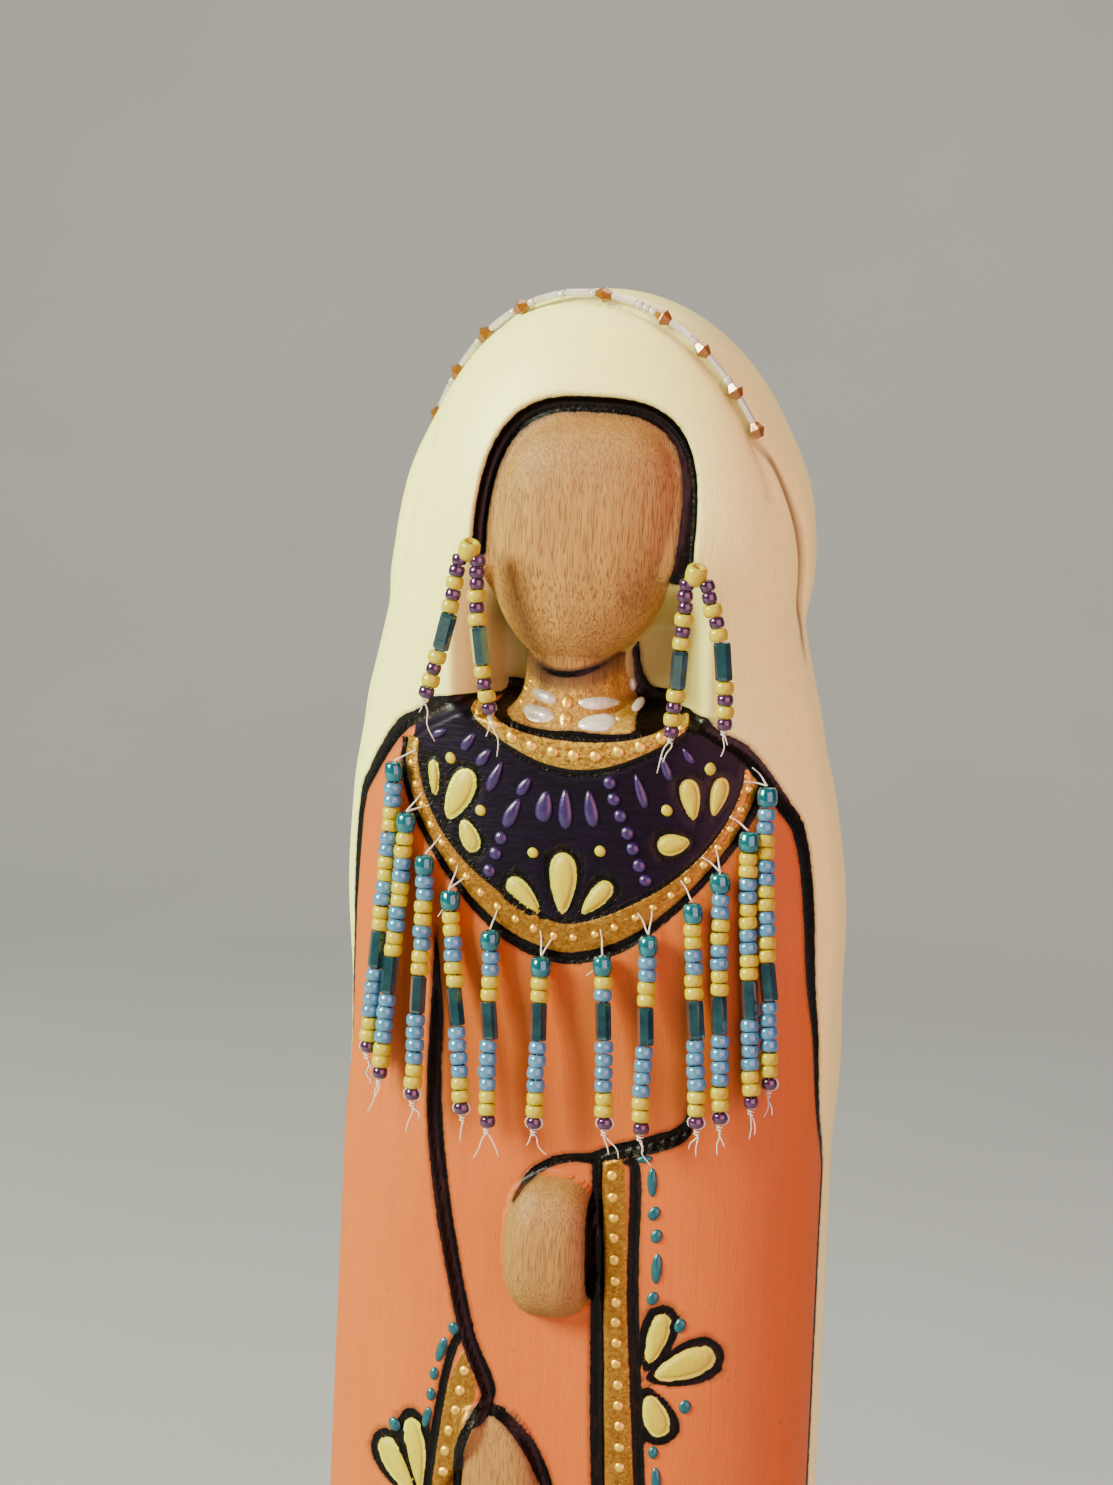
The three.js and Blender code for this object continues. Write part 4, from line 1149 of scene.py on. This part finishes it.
# Closed outline of one bead, as radius and place along the thread: a rounded loop for a seed bead, a
# tube with softened ends for a bugle, two cones for a bicone
def beadOutline(kind):
    bead = beads[kind]
    radius, half, hole = bead["wide"] / 2, bead["long"] / 2, bead["hole"]
    if bead["shape"] == "round":
        turn = np.linspace(0, 2 * math.pi, 10, endpoint=False)
        fat = (1 - hole) / 2
        ring = np.sign(np.cos(turn)) * np.abs(np.cos(turn)) ** 0.9
        place = np.sign(np.sin(turn)) * np.abs(np.sin(turn)) ** 0.75
        return np.stack([radius * (hole + fat + fat * ring), half * 0.985 * place], -1)
    if bead["shape"] == "cone":
        shape = [(hole, -1), (0.5, -0.98), (0.97, -0.08), (1, 0), (0.97, 0.08), (0.5, 0.98), (hole, 1)]
    else:
        shape = [(hole, -0.98), (0.82, -0.98), (0.96, -0.93), (1, -0.8), (1, 0.8), (0.96, 0.93),
                 (0.82, 0.98), (hole, 0.98)]
    return np.array(shape) * (radius, half)


# Two directions square to a way and to each other; a way that nearly runs along y takes another guide
def squareTo(way, limit):
    guide = np.where(np.abs(way[:, 1:2]) < limit, [[0.0, 1.0, 0.0]], [[1.0, 0.0, 0.0]])
    side = unit(np.cross(way, guide))
    return side, np.cross(way, side)


# Beads set along paths: every bead is its outline swept round the thread's direction. Round beads have
# twelve sides, and the cut ones six flat ones.
def beadPiece(name, strands, materials):
    allPoints, allQuads, allSlots, allSmooth, first = [], [], [], [], 0
    for kind in sorted({kind for strand in strands for kind, *_ in strand}):
        rows = [row[1:] for strand in strands for row in strand if row[0] == kind]
        isRound = beads[kind]["shape"] == "round"
        shape, sides = beadOutline(kind), 12 if isRound else 6
        centre = np.array([row[0] for row in rows])[:, None, None]
        way = np.array([row[1] for row in rows])
        side, other = squareTo(way, 0.8)
        size = 1 + 0.035 * random.standard_normal((len(rows), 1, 1, 1))
        turn = np.linspace(0, 2 * math.pi, sides, endpoint=False)[None, None, :, None]
        radius = shape[None, :, 0, None, None] * np.clip(size, 0.93, 1.04)
        place = shape[None, :, 1, None, None]
        around = np.cos(turn) * side[:, None, None] + np.sin(turn) * other[:, None, None]
        points = centre + radius * around + place * way[:, None, None]
        closing = ringQuads(2, sides)
        closing = np.where(closing >= sides, closing - sides, closing + (len(shape) - 1) * sides)
        one = np.concatenate([ringQuads(len(shape), sides), closing])
        each = len(shape) * sides
        allQuads.append((one[None] + first + np.arange(len(rows))[:, None, None] * each).reshape(-1, 4))
        allPoints.append(points.reshape(-1, 3))
        allSlots.append(np.repeat([row[2] for row in rows], len(one)))
        allSmooth.append(np.full(len(rows) * len(one), isRound))
        first += len(rows) * each
    piece = buildMesh(name, np.concatenate(allPoints), np.concatenate(allQuads))
    for material in materials:
        piece.data.materials.append(material)
    piece.data.polygons.foreach_set("material_index", np.concatenate(allSlots).astype(np.int32))
    piece.data.polygons.foreach_set("use_smooth", np.concatenate(allSmooth))
    return piece


# Point in front of the plain block, standing off square to its surface
def offFront(x, z, standOff):
    step = 0.2
    slopeX = (blockFront(x + step, z) - blockFront(x - step, z)) / (2 * step)
    slopeZ = (blockFront(x, z + step) - blockFront(x, z - step)) / (2 * step)
    outward = unit(np.stack([slopeX, -np.ones_like(slopeX), slopeZ], -1))
    return np.stack([x, blockFront(x, z), z], -1) + outward * np.asarray(standOff)[..., None]


# Rows of bead, middle, direction and finish for kinds threaded along a path, each a little askew
def threaded(kinds, finishes, pathPoint, slack=0.09):
    lengths = np.array([beads[kind]["long"] for kind in kinds])
    middles = np.cumsum(lengths) - lengths / 2
    points = pathPoint(middles)
    ways = unit(pathPoint(middles + 0.3) - pathPoint(middles - 0.3))
    points = points + random.uniform(-slack, slack, points.shape) * (1, 0.4, 0)
    ways = unit(ways + random.uniform(-slack, slack, points.shape))
    return list(zip(kinds, points, ways, finishes))


# Length of a row of beads along its thread
def lengthOf(kinds):
    return sum(beads[kind]["long"] for kind in kinds)


# Fringe: twelve strands, with the pin's angle round the collar, the drift sideways and the pairs of beads
# above the bugle
fringe = {
    "angles": [6, 21, 35, 48, 66, 84, 103.5, 119, 135.5, 147.5, 161.5, 174.5],
    "drifts": [-0.6, -0.8, 0.6, 3.4, 1.1, 0.4, 1.5, 0.5, 2, 1.5, 1.9, 2],
    "pairs": [6, 5, 4, 3, 2, 1, 1, 2, 3, 4, 5, 6],
    "power": 1.74,
}
yellowBead, blueBead, purpleBead, tealBugle, tealPin = range(5)


# A strand hangs straight down from its pin, drifts sideways and swings off the dress towards its foot
def fringePath(index):
    outer = collar["outer"]
    wide, deep = outer["wide"] + hanging["pinOutset"], outer["drop"] + hanging["pinDrop"]
    angle = math.radians(fringe["angles"][index])
    pinX, pinZ = onCollar(wide, deep, outer["top"], fringe["power"], angle)
    kinds = ["pin"] + ["seed"] * (2 * fringe["pairs"][index]) + ["bugle"] + ["seed"] * 6 + ["end"]
    total = lengthOf(kinds)
    radius = max(beads["pin"]["wide"], beads["seed"]["wide"]) / 2

    def pathPoint(distance):
        t = distance / total
        x = pinX + fringe["drifts"][index] * t
        z = pinZ + beads["pin"]["wide"] / 2 - distance
        return offFront(x, z, radius + hanging["gap"] + hanging["swing"] * ease(0.1, 1, t))

    return kinds, pathPoint, total


# Pairs alternate, with yellow next to the bugle; the seventh strand's one pair is a bead of each colour
def fringeFinishes(index):
    pairs = fringe["pairs"][index]
    upper = [(yellowBead, blueBead)[(pairs - 1 - k // 2) % 2] for k in range(2 * pairs)]
    if index == 6:
        upper = [yellowBead, blueBead]
    return [tealPin] + upper + [tealBugle] + [blueBead] * 4 + [yellowBead] * 2 + [purpleBead]


# Earrings: beads from top to bottom of the two strands, P purple, Y yellow, b bugle. Each strand has its
# side, its drift and its bow.
earrings = {
    "short": "PPYPYbYPYP",
    "long": "PPPYPYbYPYP",
    "left": {"side": -1, "out": 1.3, "drop": 0.0,
             "strands": [("short", -1, -3.6, 0.5), ("long", 1, 2.2, -0.7)]},
    "right": {"side": 1, "out": 2.3, "drop": 1.0,
              "strands": [("long", -1, -1.0, 0.2), ("short", 1, 3.0, 0.9)]},
}


def earringStrands(which):
    facts = earrings[which]
    hangY = -faceFront - hanging["earringHang"]
    topX = facts["side"] * (carving["faceWidth"] / 2 + facts["out"])
    topZ = up(0.9) - facts["drop"]
    rows = [[("ear", np.array([topX, hangY, topZ]), np.array([0.25, -0.3, 0.92]), yellowBead)]]
    paths = []
    letters = {"P": ("end", purpleBead), "Y": ("seed", yellowBead), "b": ("bugle", tealBugle)}
    for kindList, side, drift, bow in facts["strands"]:
        kinds, tones = zip(*(letters[letter] for letter in earrings[kindList]))
        total = lengthOf(kinds)
        startX = side * (beads["end"]["wide"] / 2 + 0.12)

        def pathPoint(distance, total=total, startX=startX, drift=drift, bow=bow):
            t = distance / total
            x = topX + startX + drift * t + bow * np.sin(math.pi * np.clip(t, 0, 1))
            z = topZ - beads["ear"]["wide"] * 0.2 - distance
            return np.stack([x, hangY + 0 * x, z], -1)

        rows.append(threaded(kinds, tones, pathPoint))
        paths.append((pathPoint, total))
    return rows, paths


# Headband: a chain over the hood in a plane that turns back to the left, of 0 bicones, 1 slim bugles and
# 2 tiny beads; "groove" is where the hood's groove runs below it, by height share
headband = {
    "heading": 70,
    "setFront": 6.3,
    "turn": 0.23,
    "lean": -0.115,
    "start": 0.374,
    "sink": 0.9,
    "middle": up(0.9),
    "groove": [(0.87, -1.0), (0.884, -1.9), (0.904, -3.0), (0.921, -4.7), (0.932, -6.2), (0.945, -8.0)],
    "chain": "01201201202121201222012012010",
}


def bandDepth(x, z):
    return -headband["setFront"] - headband["turn"] * x - headband["lean"] * np.maximum(crown - z, 0)


# Path of the chain's middle, its running length and its seat on the hood: in each direction from a middle
# inside the head, the place where the block ends is closed in on by forty halvings
def headbandPath():
    turns = np.radians(np.linspace(-headband["heading"], headband["heading"], 61))

    def onHood(turn):
        inner, outer = np.zeros_like(turn), np.full_like(turn, block["headWidth"])
        for _ in range(40):
            middle = (inner + outer) / 2
            z = headband["middle"] + middle * np.cos(turn)
            y = bandDepth(middle * np.sin(turn), z)
            n = curve(outline["power"], shareAt(z))
            x = middle * np.sin(turn) - middleAt(z)
            hold = (np.abs(x / np.maximum(halfWidthAt(z), 1e-6)) ** n
                    + np.abs(y / np.maximum(frontDepthAt(z), 1e-6)) ** n)
            inside = (hold < 1) & (z < crown)
            inner, outer = np.where(inside, middle, inner), np.where(inside, outer, middle)
        z = headband["middle"] + inner * np.cos(turn)
        return np.stack([inner * np.sin(turn), bandDepth(inner * np.sin(turn), z), z], -1)

    along = unit(onHood(turns + 0.009) - onHood(turns - 0.009))
    outward = unit(np.stack([-along[:, 2], 0 * turns, along[:, 0]], -1))
    outward[:, 1] -= 0.35 * np.cos(turns)
    seat = onHood(turns)
    lift = beads["bicone"]["wide"] / 2 + hanging["gap"] * 1.4 - headband["sink"]
    points = seat + unit(outward) * lift
    return points, runAlong(*points.T), seat


# Threads: tubes of a radius in mm round each path, thinner towards its end and closed by fans
def threadPiece(name, paths, radius):
    sides = 5
    points, quads, caps, first = [], [], [], 0
    turn = np.linspace(0, 2 * math.pi, sides, endpoint=False)[None, :, None]
    for path in paths:
        side, other = squareTo(unit(np.gradient(path, axis=0)), 0.9)
        thin = radius * np.linspace(1.0, 0.6, len(path))[:, None, None]
        ring = path[:, None] + thin * (np.cos(turn) * side[:, None] + np.sin(turn) * other[:, None])
        points.append(ring.reshape(-1, 3))
        quads.append(ringQuads(len(path), sides, first))
        last = first + (len(path) - 1) * sides
        for k in range(1, sides - 1):
            caps.append((first, first + k + 1, first + k))
            caps.append((last, last + k, last + k + 1))
        first += len(path) * sides
    piece = buildMesh(name, np.concatenate(points), np.concatenate(quads), np.array(caps))
    return closeMiddles(piece)


# A loose tail: it leaves a point, wanders and hangs, kept in front of the wood
def looseTail(start, reach, wayX, wayY, steps=9):
    t = np.linspace(0, 1, steps)
    sway = random.uniform(-0.5, 0.5, 4)
    x = start[0] + reach * (wayX * t + 0.25 * sway[0] * np.sin(3 * t) + 0.16 * sway[1] * np.sin(7 * t))
    z = start[2] - reach * (0.75 * t + 0.2 * t * t + 0.12 * sway[2] * np.sin(6 * t))
    y = start[1] + reach * (wayY * t + 0.15 * sway[3] * np.sin(4 * t))
    limit = blockFront(x, z) - 0.35
    return np.stack([x, np.minimum(y, limit), z], -1)


# A stitch: from a pin's top inward over the gold band, down on to the carved surface
def stitch(start, turn, reach=2.7, steps=8):
    t = np.linspace(0, 1, steps)
    towards = math.atan2(up(0.845) - start[2], -start[0]) + turn
    x = start[0] + reach * t * math.cos(towards)
    z = start[2] + reach * t * math.sin(towards)
    surface = carvedFront(x, z) - 0.14
    return np.stack([x, np.minimum(blend(start[1], surface, ease(0, 0.75, t)), surface), z], -1)


# A knot under a strand: the thread wound twice round itself
def knot(start, wide=0.34, drop=0.75, steps=17):
    t = np.linspace(0, 1, steps)
    turn = 4 * math.pi * t
    return start + np.stack([wide * np.cos(turn), wide * np.sin(turn), -drop * t], -1)


# The thread's loop round the end bead
def endLoop(centre, steps=15):
    turn = np.linspace(-0.35 * math.pi, 1.35 * math.pi, steps)
    reach = beads["end"]["wide"] / 2 + 0.08
    return centre + np.stack([reach * np.cos(turn), 0 * turn - 0.1, -reach * 0.8 * np.sin(turn)], -1)


# Every piece rides on the one body; nodes are the CAD nodes that it stands for
def place(piece, slotName, *nodes):
    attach(piece, "root")
    if nodes:
        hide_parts(*nodes)


figure = makeFigure()
figure.data.materials.append(carvedWood())
place(figure, "painted_wood", "figure")
print("figure:", len(figure.data.polygons), "faces")

# Raised paint: main and second colour, metallic, roughness and coat
goldPaint = raisedPaint("raised_gold_paint", (214, 164, 44), (250, 222, 104), 0.85, 0.3, 0.1)
yellowPaint = raisedPaint("raised_yellow_paint", (182, 176, 0), (166, 146, 0), 0.0, 0.36, 0.05)
violetPaint = raisedPaint("raised_violet_paint", (38, 8, 82), (24, 4, 54), 0.0, 0.26, 0.4)
tealPaint = raisedPaint("raised_teal_paint", (2, 68, 80), (16, 110, 122), 0.45, 0.26, 0.4)
pearlPaint = raisedPaint("raised_pearl_paint", (248, 246, 238), (168, 158, 146), 0.3, 0.16, 0.6)

# Rows of dots on the gold bands: how many, or how far apart on the cuffs; how far from the ends, or on the hem
# from the middle; size and height
goldRows = {
    "outer": (24, 1.2, 1.05, 0.4),
    "inner": (11, 1.2, 1.5, 0.4),
    "right": (2.52, 1.6, 1.35, 0.32),
    "left": (2.6, 1.8, 1.4, 0.36),
    "hem": (21, 25.0, 1.35, 0.32),
}
goldMarks = []
for name, (number, reach, size, high) in goldRows.items():
    if name in collar:
        spots = collarPoints(collar[name], number, reach)
    elif name in cuffs:
        spots = alongStroke(cuffs[name], number, reach)
    else:
        spots = np.linspace(-reach, reach, number), np.full(number, hem["middle"])
    goldMarks += dotsAlong(spots, size, high)
goldMarks += withHeight(choker["gold"], 0.35)
petalMarks = collarPetals + flowerMarks()
yellowMarks = [(x, z, long * 0.9, wide * 0.74, *rest) for x, z, long, wide, *rest in petalMarks]
yellowMarks += dotsAlong(np.array(yellowDots).T, 1.35, 0.35)
violetMarks = withHeight(violet["fan"], 0.42, -0.3) + dotsAlong(np.array(violet["dots"]).T, 1.6, 0.42)
paintPieces = [
    ("raised_gold_dots", goldMarks, goldPaint),
    ("raised_yellow_petals", yellowMarks, yellowPaint),
    ("raised_violet_strokes", violetMarks, violetPaint),
    ("raised_teal_strokes", withHeight(teal, 0.34), tealPaint),
    ("raised_pearl_strokes", withHeight(choker["pearl"], 0.4), pearlPaint),
]
for name, marks, material in paintPieces:
    piece = paintMarks(name, marks)
    piece.data.materials.append(material)
    place(piece, "raised_paint")
print("raised paint:", len(paintPieces), "pieces")

# Bead glass, in the order of the finishes
beadFinishes = [
    beadGlass("yellow_seed_glass", (182, 176, 0), (170, 150, 0), rough=0.2, coat=0.15),
    beadGlass("light_blue_lustre_glass", (76, 138, 174), (56, 108, 144), metal=0.15, rough=0.14, coat=0.7),
    beadGlass("purple_glass", (40, 10, 50), (72, 26, 76), metal=0.2, rough=0.1),
    beadGlass("teal_bugle_glass", (20, 60, 74), (50, 104, 114), rough=0.08, clear=0.65),
    beadGlass("teal_pin_glass", (2, 84, 102), (16, 128, 140), metal=0.55, rough=0.12),
]
tails, hairs, knots = [], [], []
for index in range(12):
    kinds, pathPoint, total = fringePath(index)
    strand = threaded(kinds, fringeFinishes(index), pathPoint)
    piece = beadPiece(f"fringe_{index + 1:02d}", [strand], beadFinishes)
    place(piece, "seed_glass", f"fringe_strand_{index + 1:02d}")
    tails.append(pathPoint(np.linspace(0.5, total - 0.1, 12)))
    foot = pathPoint(np.array([total + 0.1]))[0]
    knots.append(knot(foot))
    if index % 3 != 1:
        knots.append(endLoop(strand[-1][1]))
    for k in range(2):
        reach, sideways = random.uniform(1.4, 3.8), random.uniform(-0.5, 0.7)
        hairs.append(looseTail(foot - (0, 0, 0.6), reach, sideways, -0.05 - 0.1 * k))
    head = pathPoint(np.array([-0.1]))[0]
    for turn in ((0.1,), (-0.35, 0.3))[index % 2]:
        knots.append(stitch(head, turn))
    if index % 3 == 0:
        hairs.append(looseTail(head, random.uniform(2.0, 4.0), random.uniform(-0.9, 0.9), -0.1))
print("fringe: 12 strands")

earringTails = [(2.2, 5.0, -0.4, 0.3, -0.02), (1.2, 2.6, -0.6, 0.5, -0.08)]  # reach, sideways, forward
for which in ("left", "right"):
    rows, paths = earringStrands(which)
    piece = beadPiece(f"earring_{which}_beads", rows, beadFinishes)
    place(piece, "seed_glass", f"earring_{which}")
    for pathPoint, total in paths:
        tails.append(pathPoint(np.linspace(0.1, total - 0.1, 12)))
        foot = pathPoint(np.array([total + 0.05]))[0]
        knots.append(knot(foot, 0.3, 0.6))
        for shortest, longest, left, right, forward in earringTails:
            reach, sideways = random.uniform(shortest, longest), random.uniform(left, right)
            hairs.append(looseTail(foot - (0, 0, 0.5), reach, sideways, forward))
print("earrings: 2")

bandFinishes = [
    beadGlass("amber_glass", (178, 118, 26), (140, 84, 14), metal=0.3, rough=0.1, clear=0.3),
    beadGlass("white_bugle_glass", (250, 248, 240), (226, 220, 208), metal=0.1, rough=0.14, clear=0.45),
    beadGlass("clear_glass", (228, 224, 214), (210, 204, 190), rough=0.1, clear=0.35),
]
bandTones = [int(mark) for mark in headband["chain"]]
bandKinds = [("bicone", "slimBugle", "tiny")[tone] for tone in bandTones]
bandPoints, bandRun, _ = headbandPath()
bandLength = lengthOf(bandKinds)
spare = (bandRun[-1] - bandLength) * headband["start"]


def bandPoint(distance):
    return np.stack([np.interp(np.asarray(distance) + spare, bandRun, axis) for axis in bandPoints.T], -1)


band = beadPiece("headband", [threaded(bandKinds, bandTones, bandPoint, 0.0)], bandFinishes)
place(band, "clear_glass", "headband_beads")
tails.append(bandPoint(np.linspace(0, bandLength, 60)))
print("headband: 1")

fibre = threadFibre()
threadSets = [("bead_threads", tails, 0.16), ("thread_knots", knots, 0.12), ("thread_ends", hairs, 0.095)]
for name, paths, radius in threadSets:
    piece = threadPiece(name, paths, radius)
    piece.data.materials.append(fibre)
    place(piece, "thread")
print("threads:", len(tails) + len(knots) + len(hairs))

# Floor: one pale sheet that curves up far behind
stage = {"width": 3.0, "front": -1.2, "bend": 0.9, "radius": 0.6, "rise": 1.2, "tone": (172, 174, 177)}


def makeFloor():
    turn = np.linspace(0, math.pi / 2, 17)
    half, bend, radius = stage["width"] / 2, stage["bend"], stage["radius"]
    y = np.concatenate([[stage["front"]], bend + radius * np.sin(turn), [bend + radius]])
    z = np.concatenate([[0], radius * (1 - np.cos(turn)), [stage["rise"]]])
    grid = np.stack([np.stack([side * half + 0 * y, y, z], -1) for side in (-1, 1)], 1)
    r = np.arange(len(y) - 1)
    quads = np.stack([2 * r, 2 * r + 1, 2 * r + 3, 2 * r + 2], -1)
    piece = buildMesh("floor", grid.reshape(-1, 3) / mm, quads)
    b = Bench("pale_floor")
    cloud = b.noise((0.01, 0.01, 0.01), 2)
    tone = b.between(cloud, colour(*stage["tone"]), colour(*(v - 8 for v in stage["tone"])))
    piece.data.materials.append(b.finish(Base_Color=tone, Roughness=0.9))


makeFloor()

# Lights, aimed at the upper half: a cool key from the left, a warm fill from the right, a soft top
lights = {
    "key": {"place": (-0.88, -0.64, 0.8), "size": 0.5, "power": 50.0, "tint": (0.95, 1.0, 0.71)},
    "fill": {"place": (0.68, -0.7, 0.4), "size": 1.1, "power": 17.0, "tint": (1.0, 0.42, 0.46)},
    "top": {"place": (0.0, 0.35, 1.0), "size": 0.7, "power": 5.0, "tint": (1.0, 0.97, 0.9)},
}
aim = Vector((0, 0, 0.23))
for name, facts in lights.items():
    lamp = bpy.data.lights.new(name, "AREA")
    lamp.size = facts["size"]
    lamp.energy = facts["power"]
    lamp.color = facts["tint"]
    holder = addObject(name, lamp)
    holder.location = facts["place"]
    holder.rotation_euler = (Vector(facts["place"]) - aim).to_track_quat("Z", "Y").to_euler()

world = bpy.data.worlds.new("soft_room")
world.use_nodes = True
world.node_tree.nodes["Background"].inputs["Color"].default_value = (0.84, 0.84, 0.86, 1)
world.node_tree.nodes["Background"].inputs["Strength"].default_value = 0.2
bpy.context.scene.world = world

# Camera: where the photograph was taken from, tipped a little to one side
shot = {
    "azimuth": 13.0,
    "elevation": 10.0,
    "roll": 2.4,
    "distance": 490.0,
    "target": (-5.96, 0.0, 246.0),
    "lens": 100.0,
}


def makeCamera():
    azimuth, elevation, roll = (math.radians(shot[name]) for name in ("azimuth", "elevation", "roll"))
    flat = math.cos(elevation)
    back = Vector((math.sin(azimuth) * flat, -math.cos(azimuth) * flat, math.sin(elevation)))
    level = Vector((0, 0, 1)).cross(back).normalized()
    right = math.cos(roll) * level + math.sin(roll) * back.cross(level)
    lens = bpy.data.cameras.new("camera")
    lens.lens = shot["lens"]
    lens.clip_start = 0.01
    camera = addObject("camera", lens)
    spot = (Vector(shot["target"]) + back * shot["distance"]) * mm
    turned = Matrix((right, back.cross(right), back)).transposed().to_4x4()
    camera.matrix_world = Matrix.Translation(spot) @ turned
    bpy.context.scene.camera = camera


makeCamera()
bpy.context.view_layer.update()
